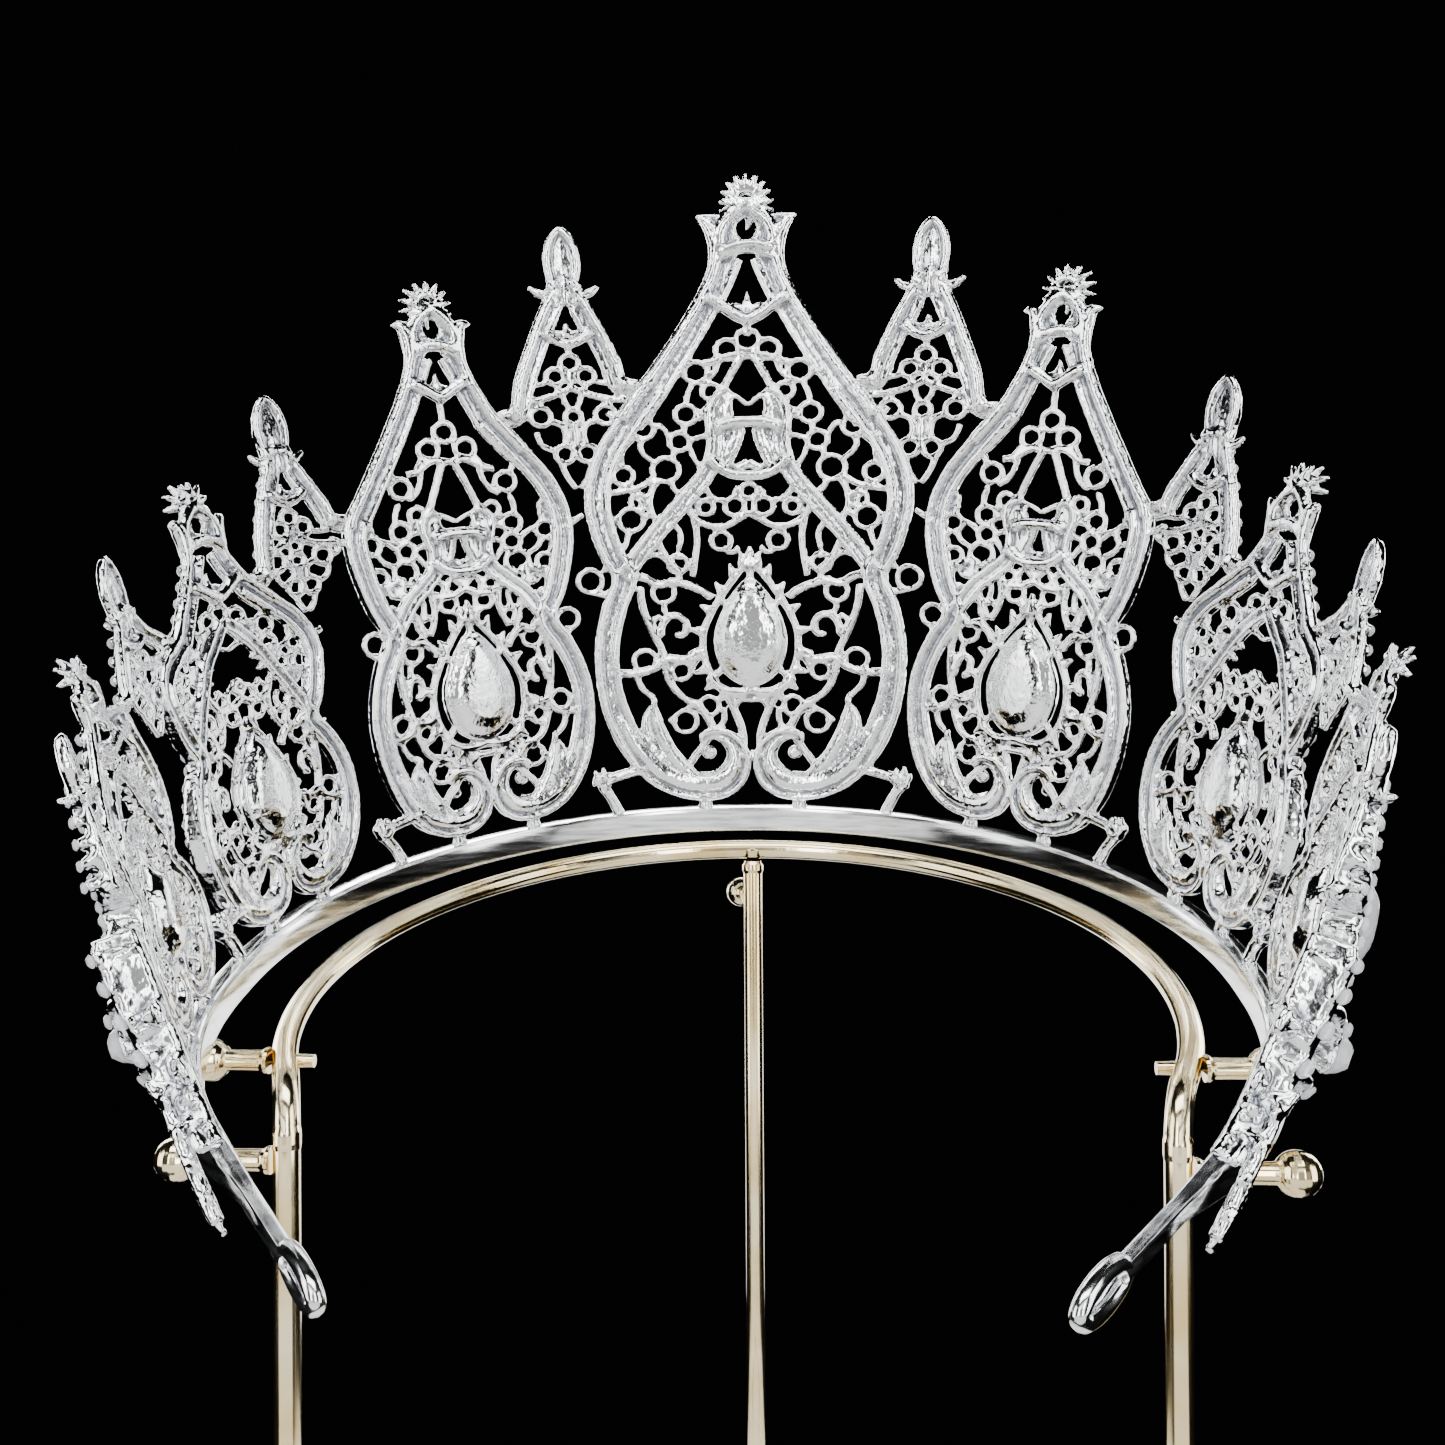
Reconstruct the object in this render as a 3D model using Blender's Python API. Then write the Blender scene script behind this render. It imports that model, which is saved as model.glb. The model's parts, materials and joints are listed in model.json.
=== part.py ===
# Tiara of cast openwork panels on a narrow band, resting on a bent wire stand.
# Metres, +Z up. The tiara's front faces -Y and the origin is on the floor,
# under the middle of the whole object's box. The wearer's right is -X.
import math

import bmesh
import bpy
from mathutils import Matrix, Vector

MM = 0.001

# Clearance left between pieces that touch or are soldered, in mm
GAP = 0.3

# Plane of the band: it rises towards the front by this angle
PLANE_TILT_DEG = 14.75
BAND_CENTRE_Z = 136.1
# Outward lean of the openwork from the band's axis, in front and added towards the sides
FLARE_DEG = 7.8
FLARE_MORE_DEG = 3.0
FLARE_REACH = 105.0

# Band, in mm: inner radius, the straight run beside the head where the curve rests,
# section and how far it runs from the middle to each arm
BAND_RADIUS = 70.7
SIDE_RUN = 4.0
BAND_THICK = 3.2
BAND_BOTTOM = -2.5
BAND_TOP = 2.1
BAND_ARC_LENGTH = 161.3
BAND_SEGMENTS = 30
ARM_LENGTH = 25.5
ARM_TAPER = 0.5
ARM_END_THICK = 1.7
ARM_END_HALF_HEIGHT = 1.1
LOOP_LENGTH = 11.0
LOOP_WIDTH = 5.6
LOOP_WIRE = 0.9

# Openwork: the middle of its thickness stands this far outside the band's face
WORK_OFFSET = 1.6
WORK_BACK = -1.05
WORK_FRONT = 1.05
SEAT_HEIGHT = BAND_TOP + GAP
# The front of the openwork swells out at its low side ends: depth in mm, then where it
# grows and dies away along the lip, and where it grows and fades up the openwork
SWELL = 2.8
SWELL_GROWS = (100.0, 125.0)
SWELL_DIES = (152.0, 162.0)
SWELL_RISES = (4.0, 9.0)
SWELL_FADES = (22.0, 42.0)

# Stand, in mm
ROD_D = 3.5
ROD_SIDES = 8
PEG_SIDES = 6
BOW_INSET = 6.3
BOW_CENTRE_Y = -5.0
BOW_BELOW_BAND = 5.75
BOW_PAST_SIDE_DEG = 24.0
BOW_SEGMENTS = 20
BEND_RADIUS = 7.0
FOOT_SEGMENTS = 20
PEG_D = 3.2
BALL_R = 3.1
UPPER_PEG_DEG = 110.0
UPPER_PEG_UNDER = 1.6
LOWER_PEG_DROP = 3.0
LOWER_PEG_LENGTH = 15.0
FRONT_PEG_DROP = 9.6
FRONT_PEG_LENGTH = 13.5
FRONT_PEG_TURN_DEG = 13.0

# Panels: middle of each along the lip, in mm, and the height of each tip
PANEL_AXIS = (0.0, 49.0, 93.5, 130.5)
PANEL_TIP = (120.0, 101.5, 71.0, 53.0)
# Half width of the lower bulge of each panel to the middle of its bar
PANEL_HALF = (25.5, 18.9, 17.0, 12.6)
# Height of the widest part of the bulge, of the narrow crossing and of the shoulder
BULGE_H = (30.0, 24.5, 19.0, 14.0)
CROSS_H = (46.6, 40.5, 31.0, 22.5)
SHOULDER_H = (61.0, 57.0, 42.0, 30.5)
CROSS_HALF = (21.5, 13.6, 12.4, 8.6)
SHOULDER_HALF = (25.2, 17.6, 15.6, 11.2)
FRAME_HALF_WIDTH = (2.0, 1.7, 1.5, 1.25)
# Waist under the finial: half width and height below the tip
WAIST_HALF = (4.1, 3.3, 2.9, 2.4)
WAIST_DROP = (17.5, 15.0, 12.0, 9.5)
EAR_DROP = (7.6, 8.0, 6.6, 5.4)
EAR_OUT = (6.9, 5.6, 4.6, 3.8)
BURST_R = (5.4, 4.6, 3.8, 3.2)
BURST_RAYS = (11, 9, 7, 5)
BURST_FRONT = 3.2

# Scroll at the foot of each panel: centre of its eye and size of its curl
EYE_X = (7.8, 6.4, 5.8, 4.6)
EYE_H = (11.9, 10.8, 9.6, 8.4)
CURL_R = (5.7, 4.9, 4.3, 3.5)

# Pear-shaped setting in each panel: centre height, half width, half height
PEAR_H = (35.6, 29.6, 22.8, 17.6)
PEAR_HALF_W = (6.5, 6.4, 5.4, 4.2)
PEAR_HALF_H = (10.2, 9.8, 8.2, 6.2)
PEAR_SIDES = 10
FLOWER_SIDES = 6
FLOWER_H = 8.9
FLOWER_R = 2.3
FLOWER_FRONT = 2.2
HALO_GAP = 2.4
CUP_BACK = -2.7
CUP_FRONT = 1.4
GIRDLE = 2.2
TABLE = 3.9

# Ears of the inner pointed arch over each pear: height and half width
INNER_H = (81.3, 62.0, 0.0, 0.0)
INNER_OUT = (6.7, 5.0, 0.0, 0.0)
# Half length of the cross bar in the two tall panels' gables
GABLE_BAR_HALF = (9.6, 5.2)

# Bud gables: middle along the lip, tip height and half width of the bud
BUD_AXIS = (28.0, 77.0, 114.0, 147.0)
BUD_TIP = (111.0, 83.0, 63.0, 47.5)
BUD_HALF = (2.9, 2.7, 2.3, 2.0)
BUD_LENGTH = (11.5, 10.0, 8.5, 7.0)
BUD_LEAF = (5.5, 4.8, 4.0, 3.4)
BUD_BAR = (1.55, 1.4, 1.2, 1.05)
BUD_BACK = -1.4
BUD_FRONT = 2.6
BUD_PRONG = 4.2
TONGUE_H = (62.5, 47.0, 36.5, 0.0)

# Leaf bracket at each end: where it starts along the lip, how far from there the band
# runs on to its arm, height, reach and width of its bars, and the tongue that hangs past
# the band's outer face
END_LEAF_START = 146.0
END_LEAF_OVERLAP = 15.3
END_LEAF_H = 25.5
END_LEAF_REACH = 22.0
END_LEAF_WIDTH = 3.4
END_LEAF_FRONT = 2.9
TONGUE_DROP = 6.3
TONGUE_FRONT = 3.9

# Joints between neighbours, as distance along the lip and height
VALLEY = ((17.8, 82.8), (39.6, 78.0), (68.0, 62.3), (85.8, 55.3),
          (104.6, 49.5), (121.4, 44.3), (139.4, 38.3), (153.6, 31.0))

SILVER = (0.83, 0.84, 0.86, 1.0)
GOLD = (0.86, 0.66, 0.34, 1.0)
CRYSTAL = (0.93, 0.95, 0.98, 1.0)

TILT = math.radians(PLANE_TILT_DEG)
RIGHT = Vector((-1.0, 0.0, 0.0))
FRONT = Vector((0.0, -math.cos(TILT), math.sin(TILT)))
UP = Vector((0.0, math.sin(TILT), math.cos(TILT)))
BAND_CENTRE = Vector((0.0, 0.0, BAND_CENTRE_Z))


def clear_scene():
    for ob in list(bpy.data.objects):
        bpy.data.objects.remove(ob, do_unlink=True)


def make_material(name, colour, roughness, metallic, transmission=0.0):
    mat = bpy.data.materials.new(name)
    mat.use_nodes = True
    shader = mat.node_tree.nodes["Principled BSDF"]
    shader.inputs["Base Color"].default_value = colour
    shader.inputs["Roughness"].default_value = roughness
    shader.inputs["Metallic"].default_value = metallic
    shader.inputs["Transmission Weight"].default_value = transmission
    mat.diffuse_color = colour
    return mat


def band_frame(s):
    # Point of the band's inner face at distance s along it, with its outward and
    # forward directions. The band is round, but for a short straight run at each side,
    # and past the arc it runs on as a straight arm.
    reach = abs(s)
    straight = min(SIDE_RUN, max(0.0, reach - BAND_RADIUS * math.pi / 2.0))
    arm = max(0.0, reach - BAND_ARC_LENGTH)
    theta = math.copysign((reach - straight - arm) / BAND_RADIUS, s)
    out = RIGHT * math.sin(theta) + FRONT * math.cos(theta)
    along = RIGHT * math.cos(theta) - FRONT * math.sin(theta)
    base = BAND_CENTRE + out * BAND_RADIUS - FRONT * straight + along * math.copysign(arm, s)
    return base, out, along


def band_half_width(v):
    # Half width of the band's inner face at distance v in front of its centre
    if v < 0.0:
        v = min(0.0, v + SIDE_RUN)
    return math.sqrt(BAND_RADIUS ** 2 - v ** 2)


def on_band(s, n, w):
    # n is the height along the band's axis, w the distance outside its face
    base, out, along = band_frame(s)
    return (base + out * w + UP * n) * MM


def ramp(x, limits):
    # Share from 0 to 1 by which x has passed between two limits
    return min(1.0, max(0.0, (x - limits[0]) / (limits[1] - limits[0])))


def swelling(s, h):
    along = ramp(abs(s), SWELL_GROWS) * (1.0 - ramp(abs(s), SWELL_DIES))
    return SWELL * along * ramp(h, SWELL_RISES) * (1.0 - ramp(h, SWELL_FADES))


def on_work(s, h, w):
    # h runs up the flared openwork and w outwards through its thickness
    # The openwork shares out the whole length of the band
    base, out, along = band_frame(s * (BAND_ARC_LENGTH / (END_LEAF_START + END_LEAF_OVERLAP)))
    flare = math.radians(FLARE_DEG + FLARE_MORE_DEG * min(1.0, abs(s) / FLARE_REACH) ** 2)
    slope = UP * math.cos(flare) + out * math.sin(flare)
    face = out * math.cos(flare) - UP * math.sin(flare)
    w += swelling(s, h) * min(1.0, max(0.0, w / WORK_FRONT))
    return (base + out * WORK_OFFSET + slope * h + face * w) * MM


def widening(h):
    # How much wider the flared surface is at height h than at the lip
    return 1.0 + (WORK_OFFSET + h * math.sin(math.radians(FLARE_DEG))) / BAND_RADIUS


def new_object(name, mesh, material):
    ob = bpy.data.objects.new(name, mesh)
    bpy.context.scene.collection.objects.link(ob)
    mesh.materials.clear()
    mesh.materials.append(material)
    return ob


def mesh_from(verts, faces, name):
    mesh = bpy.data.meshes.new(name)
    mesh.from_pydata([tuple(v) for v in verts], [], faces)
    mesh.update()
    return mesh


def fix_normals(mesh):
    bm = bmesh.new()
    bm.from_mesh(mesh)
    bmesh.ops.recalc_face_normals(bm, faces=bm.faces)
    bm.to_mesh(mesh)
    bm.free()


# Flat pieces: these are laid out in the unrolled plane (s, h) and thickness w,
# in mm, joined there and bent round the band afterwards

def prism(outline, back=WORK_BACK, front=WORK_FRONT):
    n = len(outline)
    verts = [(x, y, back) for x, y in outline] + [(x, y, front) for x, y in outline]
    faces = [tuple(reversed(range(n))), tuple(range(n, 2 * n))]
    for i in range(n):
        j = (i + 1) % n
        faces.append((i, j, n + j, n + i))
    return verts, faces


def bar(points, half_widths, closed=False, back=WORK_BACK, front=WORK_FRONT):
    # A bar of rectangular section along a line of points, mitred at each
    n = len(points)
    if not hasattr(half_widths, "__len__"):
        half_widths = [half_widths] * n
    verts = []
    for i in range(n):
        here = Vector(points[i])
        before = Vector(points[i - 1]) if (i > 0 or closed) else None
        after = Vector(points[(i + 1) % n]) if (i < n - 1 or closed) else None
        d0 = (here - before).normalized() if before is not None else None
        d1 = (after - here).normalized() if after is not None else None
        if d0 is None:
            d0 = d1
        if d1 is None:
            d1 = d0
        mid = (d0 + d1).normalized()
        side = Vector((-mid.y, mid.x))
        stretch = 1.0 / max(0.5, side.dot(Vector((-d0.y, d0.x))))
        a = half_widths[i] * stretch
        for k, w in ((-1.0, back), (1.0, back), (1.0, front), (-1.0, front)):
            q = here + side * (a * k)
            verts.append((q.x, q.y, w))
    faces = []
    last = n if closed else n - 1
    for i in range(last):
        j = (i + 1) % n
        for k in range(4):
            m = (k + 1) % 4
            faces.append((4 * i + k, 4 * i + m, 4 * j + m, 4 * j + k))
    if not closed:
        faces.append((0, 3, 2, 1))
        e = 4 * (n - 1)
        faces.append((e, e + 1, e + 2, e + 3))
    return verts, faces


def star(x, h, r_out, r_in, rays, start_deg, end_deg, front):
    # A fan of rays over the finial, closed below by a straight edge
    pts = []
    a0 = math.radians(start_deg)
    a1 = math.radians(end_deg)
    steps = 2 * rays - 1
    for i in range(steps + 1):
        a = a0 + (a1 - a0) * i / steps
        r = r_in if i % 2 == 0 else r_out
        pts.append((x + r * math.cos(a) / widening(h), h + r * math.sin(a)))
    return prism(pts, WORK_BACK, front)


def pear_point(turn, half_w, half_h):
    # Pear outline: round below and drawn to a point above
    x = half_w * math.sin(turn)
    y = -half_h * math.cos(turn)
    if y > 0.0:
        x *= (1.0 - 0.55 * (y / half_h) ** 1.6)
    return x, y - 0.12 * half_h * (1.0 - (y / half_h) ** 2)


def pear_outline(x, h, half_w, half_h, sides):
    pts = []
    for i in range(sides):
        px, py = pear_point(2.0 * math.pi * i / sides, half_w, half_h)
        pts.append((x + px / widening(h), h + py))
    return pts


def stack(outline, levels):
    # The outline at each level (w, scale), closed with flat ends
    n = len(outline)
    cx = sum(p[0] for p in outline) / n
    cy = sum(p[1] for p in outline) / n
    verts = []
    for w, scale in levels:
        for x, y in outline:
            verts.append((cx + (x - cx) * scale, cy + (y - cy) * scale, w))
    faces = [tuple(reversed(range(n)))]
    top = n * (len(levels) - 1)
    faces.append(tuple(range(top, top + n)))
    for k in range(len(levels) - 1):
        for i in range(n):
            j = (i + 1) % n
            faces.append((n * k + i, n * k + j, n * (k + 1) + j, n * (k + 1) + i))
    return verts, faces


def fuse(name, shapes):
    # Join flat shapes into one closed body
    base = None
    group = bpy.data.collections.new(name + "_shapes")
    bpy.context.scene.collection.children.link(group)
    helpers = []
    for i, (verts, faces) in enumerate(shapes):
        mesh = mesh_from(verts, faces, name + "_shape")
        fix_normals(mesh)
        ob = bpy.data.objects.new(name + "_shape", mesh)
        if base is None:
            base = ob
            bpy.context.scene.collection.objects.link(ob)
        else:
            group.objects.link(ob)
        helpers.append(ob)
    mod = base.modifiers.new("Union", 'BOOLEAN')
    mod.operation = 'UNION'
    mod.solver = 'EXACT'
    mod.operand_type = 'COLLECTION'
    mod.collection = group
    mod.use_self = True
    bpy.context.view_layer.update()
    graph = bpy.context.evaluated_depsgraph_get()
    joined = bpy.data.meshes.new_from_object(base.evaluated_get(graph))
    for ob in helpers:
        bpy.data.objects.remove(ob, do_unlink=True)
    bpy.data.collections.remove(group)
    bm = bmesh.new()
    bm.from_mesh(joined)
    bmesh.ops.remove_doubles(bm, verts=bm.verts, dist=0.06)
    bmesh.ops.dissolve_limit(bm, angle_limit=math.radians(0.5), verts=bm.verts, edges=bm.edges)
    bmesh.ops.triangulate(bm, faces=bm.faces)
    loose = [e for e in bm.edges if not e.link_faces]
    bmesh.ops.delete(bm, geom=loose, context='EDGES')
    loose = [v for v in bm.verts if not v.link_faces]
    bmesh.ops.delete(bm, geom=loose, context='VERTS')
    bm.to_mesh(joined)
    bm.free()
    return joined


def bend(mesh, axis, side):
    # Carry a flat mesh round the band. The negative side is its mirror image.
    for v in mesh.vertices:
        s = axis + v.co.x
        v.co = on_work(side * s, v.co.y, v.co.z)
    mesh.update()
    fix_normals(mesh)


def ease(a, b, f, power=1.0):
    return a + (b - a) * f ** power


def frame_path(k, valley_x, valley_h):
    # Middle line of a panel's side, from the waist down to its foot scroll,
    # as distance from the panel's middle line and height
    tip = PANEL_TIP[k]
    waist_h = tip - WAIST_DROP[k]
    hw = FRAME_HALF_WIDTH[k]
    vx = valley_x - hw * 1.15 - GAP
    vh = valley_h - 1.4
    pts = [(WAIST_HALF[k], waist_h + 3.5 * tip / 120.0)]
    for f in (0.0, 0.25, 0.62, 1.0) if k < 1 else (0.0, 0.5, 1.0):
        pts.append((ease(WAIST_HALF[k], vx, f, 1.25), ease(waist_h, vh, f)))
    for f in (0.5, 1.0):
        pts.append((vx + (SHOULDER_HALF[k] - vx) * math.sin(f * math.pi / 2) ** 1.1,
                    ease(vh, SHOULDER_H[k], f)))
    for f in (0.5, 1.0):
        pts.append((ease(SHOULDER_HALF[k], CROSS_HALF[k], f, 1.8),
                    ease(SHOULDER_H[k], CROSS_H[k], f)))
    for f in (0.4, 1.0):
        pts.append((ease(CROSS_HALF[k], PANEL_HALF[k], math.sin(f * math.pi / 2)),
                    ease(CROSS_H[k], BULGE_H[k], f)))
    return pts


def scroll_path(k):
    # From the widest part of the bulge round the bottom to the curled end
    low_x = EYE_X[k] + 1.4
    low_h = EYE_H[k] - CURL_R[k]
    rx = PANEL_HALF[k] - low_x
    ry = BULGE_H[k] - low_h
    pts = []
    widths = []
    for a in (0, 32, 60):
        t = math.radians(a)
        pts.append((low_x + rx * math.cos(t), BULGE_H[k] - ry * math.sin(t)))
        widths.append(FRAME_HALF_WIDTH[k] * (1.0 + 0.25 * a / 60.0))
    curl = ((-82, 1.0, 1.35), (-125, 0.97, 1.3), (-170, 0.9, 1.05), (-220, 0.82, 0.85), (-275, 0.68, 0.6))
    if k > 0:
        curl = ((-90, 1.0, 1.35), (-150, 0.94, 1.15), (-210, 0.84, 0.85), (-270, 0.68, 0.6))
    for a, r, w in curl:
        t = math.radians(a)
        pts.append((EYE_X[k] + CURL_R[k] * r * math.cos(t),
                    EYE_H[k] + CURL_R[k] * r * math.sin(t)))
        widths.append(FRAME_HALF_WIDTH[k] * w)
    return pts, widths


def mirrored(points):
    return [(-x, h) for x, h in points]


def panel_shapes(k, left_valley, right_valley):
    # left_valley and right_valley are distances from the panel's middle line
    tip = PANEL_TIP[k]
    hw = FRAME_HALF_WIDTH[k]
    scale = tip / 120.0
    size = hw / FRAME_HALF_WIDTH[0]
    shapes = []
    # Finial: fan of rays on a pointed arch, with a flared ear at each side
    shapes.append(star(0.0, tip - BURST_R[k], BURST_R[k], BURST_R[k] * 0.62, BURST_RAYS[k], -28.0, 208.0,
                       BURST_FRONT * size))
    waist_h = tip - WAIST_DROP[k]
    arch_top = tip - BURST_R[k] * 0.9
    arch_foot = tip - WAIST_DROP[k] * 0.72
    shapes.append(bar([(-WAIST_HALF[k] * 0.9, arch_foot), (0.0, arch_top), (WAIST_HALF[k] * 0.9, arch_foot)],
                      0.9 * size))
    shapes.append(bar([(-WAIST_HALF[k] * 1.05, arch_foot - 1.0), (WAIST_HALF[k] * 1.05, arch_foot - 1.0)],
                      1.0 * size))
    for side, valley in ((-1, left_valley), (1, right_valley)):
        flip = mirrored if side < 0 else (lambda p: p)
        ear = [(EAR_OUT[k], tip - EAR_DROP[k]), (WAIST_HALF[k] * 0.8, waist_h + 3.9 * scale)]
        shapes.append(bar(flip(ear), [0.4 * size, 1.5 * size]))
        path = frame_path(k, valley[0], valley[1])
        low, low_w = scroll_path(k)
        widths = [hw * 0.85] * 2 + [hw] * (len(path) - 3)
        line = path[:-1] + low
        shapes.append(bar(flip(line), widths + low_w))
        # Straight bars of the inner arch, from the ears over the pear out to the crossing
        if INNER_H[k] > 0.0:
            ih = INNER_H[k]
            top_w = INNER_OUT[k]
            drop = ih - CROSS_H[k]
            inner = [(top_w, ih), (top_w * 0.66, ih - 0.07 * drop), (top_w * 0.7, ih - 0.3 * drop),
                     (ease(top_w * 0.88, CROSS_HALF[k], 0.18), ih - 0.47 * drop),
                     (ease(top_w * 0.88, CROSS_HALF[k], 0.55), ih - 0.72 * drop),
                     (CROSS_HALF[k], ih - drop)]
            shapes.append(bar(flip(inner), [0.4 * size, 1.3 * size] + [1.45 * size] * 4))
        else:
            top = ease(CROSS_H[k], tip, 0.52)
            inner = [(0.6, top), (CROSS_HALF[k], CROSS_H[k])]
            shapes.append(bar(flip(inner), 1.2 * size))
        # Foot on the band under the scroll
        fx = EYE_X[k] + 1.0
        shapes.append(prism([(side * fx - 1.6, SEAT_HEIGHT), (side * fx + 1.6, SEAT_HEIGHT),
                             (side * fx + 1.3, SEAT_HEIGHT + 2.2), (side * fx - 1.3, SEAT_HEIGHT + 2.2)]))
        # Upright leaf inside the lower bulge
        leaf = [(EYE_X[k] + 3.6, EYE_H[k] - 1.8), (PANEL_HALF[k] * 0.65, EYE_H[k] + 8.0 * scale),
                (PANEL_HALF[k] * 0.69, EYE_H[k] + 13.2 * scale)]
        shapes.append(bar(flip(leaf), [1.5 * size, 2.1 * size, 0.6 * size]))
        # Arch from the halo down to the scroll and side stem from the pear to the frame
        ph = PEAR_H[k]
        bottom = ph - PEAR_HALF_H[k] - HALO_GAP * 0.75
        shapes.append(bar(flip([(PEAR_HALF_W[k] * 0.3, bottom + 3.6),
                                (EYE_X[k] - CURL_R[k] * 0.86, EYE_H[k] + 1.8)]), 0.8))
        reach = ease(PANEL_HALF[k], CROSS_HALF[k], 0.04)
        shapes.append(bar(flip([(PEAR_HALF_W[k] * 0.8, ph - 3.6 * scale), (reach, ph - 6.6 * scale)]), 0.75))
        stem = [(CROSS_HALF[k] - 1.2, CROSS_H[k] - 2.2), (ease(PEAR_HALF_W[k], reach, 0.46), ph - 6.6 * scale),
                (EYE_X[k] + 0.6, EYE_H[k] + CURL_R[k] * 0.95)]
        if k == 0:
            shapes.append(bar(flip(stem), 0.7))
    # Bridge between the two scrolls
    gap_x = EYE_X[k] - CURL_R[k] * 0.93
    shapes.append(bar([(-gap_x - 0.6, EYE_H[k]), (gap_x + 0.6, EYE_H[k])], 0.8))
    # Halo round the pear, the setting itself and stems that tie them together
    ph = PEAR_H[k]
    if k < 2:
        halo = pear_outline(0.0, ph, PEAR_HALF_W[k] + HALO_GAP, PEAR_HALF_H[k] + HALO_GAP, PEAR_SIDES)
        shapes.append(bar(halo, 1.0, closed=True))
    cup = pear_outline(0.0, ph, PEAR_HALF_W[k], PEAR_HALF_H[k], PEAR_SIDES)
    if k < 2:
        shapes.append(stack(cup, ((CUP_BACK, 0.6), (WORK_BACK, 1.0), (CUP_FRONT, 1.0))))
    else:
        shapes.append(prism(cup, WORK_BACK, CUP_FRONT))
    # Cross bars, V bars and trefoils between the gable bars
    if k < 2:
        a_h = tip - WAIST_DROP[k] * 1.5
        shapes.append(bar([(-5.2 * size, a_h + 3.2 * scale), (0.0, a_h), (5.2 * size, a_h + 3.2 * scale)],
                          0.95 * size))
        bar_h = tip - 33.0 * scale
        shapes.append(bar([(0.0, a_h), (0.0, bar_h)], 0.7))
        half = GABLE_BAR_HALF[k]
        shapes.append(bar([(-half, bar_h), (half, bar_h)], 0.75))
        for sx in (-1, 1):
            ear_h = INNER_H[k]
            shapes.append(bar([(0.0, bar_h), (sx * INNER_OUT[k] * 0.7, ear_h - 0.04 * (ear_h - CROSS_H[k]))],
                              0.7))
        ih = INNER_H[k]
        drop = ih - CROSS_H[k]
        cross_h = ih - 0.2 * drop
        shapes.append(bar([(-INNER_OUT[k] * 0.7, cross_h), (INNER_OUT[k] * 0.7, cross_h)], 1.1 * size))
        vee = ih - 0.46 * drop
        shapes.append(bar([(-INNER_OUT[k] * 0.95, vee + 1.9 * scale), (0.0, vee), (INNER_OUT[k] * 0.95, vee + 1.9 * scale)],
                          0.9 * size))
        crown = ph + PEAR_HALF_H[k] + HALO_GAP
        shapes.append(bar([(0.0, vee), (0.0, crown - 0.5)], 0.65))
        for sx in (-1, 1):
            bx = ease(INNER_OUT[k], CROSS_HALF[k], 0.5)
            if k == 0:
                shapes.append(bar([(0.0, ease(vee, crown, 0.58)), (sx * bx * 0.5, ease(vee, crown, 0.74)),
                                   (sx * bx, ease(vee, crown, 0.42))], 0.7))
            # Upper field between the inner arch and the frame
            fx = ease(INNER_OUT[k] * 0.7, SHOULDER_HALF[k], 0.5)
            fh = ease(SHOULDER_H[k], INNER_H[k], 0.42)
            shapes.append(bar([(sx * INNER_OUT[k] * 0.7, INNER_H[k] - 0.16 * drop), (sx * fx, fh),
                               (sx * (SHOULDER_HALF[k] - 0.5), SHOULDER_H[k] + 0.12 * drop)], 0.7))
            if k == 0:
                shapes.append(bar([(sx * fx, fh), (sx * SHOULDER_HALF[k] * 0.52, ease(CROSS_H[k], SHOULDER_H[k], 0.55))],
                                  0.7))
    else:
        low = ease(CROSS_H[k], tip, 0.50)
        shapes.append(bar([(-3.4 * size, low + 5.0 * size), (0.0, low + 2.6 * size), (3.4 * size, low + 5.0 * size)],
                          0.9 * size))
        shapes.append(bar([(0.0, low + 2.6 * size), (0.0, low - 1.0)], 0.9 * size))
        crown = ph + PEAR_HALF_H[k] + HALO_GAP
        shapes.append(bar([(0.0, low), (0.0, crown - HALO_GAP - 1.0)], 0.6))
        for sx in (-1, 1):
            fh = ease(SHOULDER_H[k], low, 0.4)
            shapes.append(bar([(-sx * 0.3, low - 0.3), (sx * SHOULDER_HALF[k], ease(fh, SHOULDER_H[k], 0.5))], 0.65))
    return shapes


def flower_shapes(k, side):
    # Small flower setting beside the foot of a panel, with its strut and leg
    hw = FRAME_HALF_WIDTH[k]
    edge = PANEL_HALF[k] + hw
    x = side * (edge + 0.45 if k == 0 else edge + 1.6)
    h = FLOWER_H - 0.4 * k
    r = FLOWER_R - 0.12 * k
    pts = []
    for i in range(FLOWER_SIDES):
        a = 2.0 * math.pi * i / FLOWER_SIDES
        pts.append((x + r * math.cos(a), h + r * math.sin(a)))
    shapes = [prism(pts, WORK_BACK, FLOWER_FRONT)]
    # The strut reaches the frame bar where the bulge turns in
    t = math.radians(55)
    low_x = EYE_X[k] + 1.4
    low_h = EYE_H[k] - CURL_R[k]
    fx = low_x + (PANEL_HALF[k] - low_x) * math.cos(t)
    fh = BULGE_H[k] - (BULGE_H[k] - low_h) * math.sin(t)
    shapes.append(bar([(side * fx, fh), (x, h)], 0.8))
    shapes.append(bar([(x, h - 1.0), (x - side * 3.6, SEAT_HEIGHT + 0.5)], 0.75))
    return shapes


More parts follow.
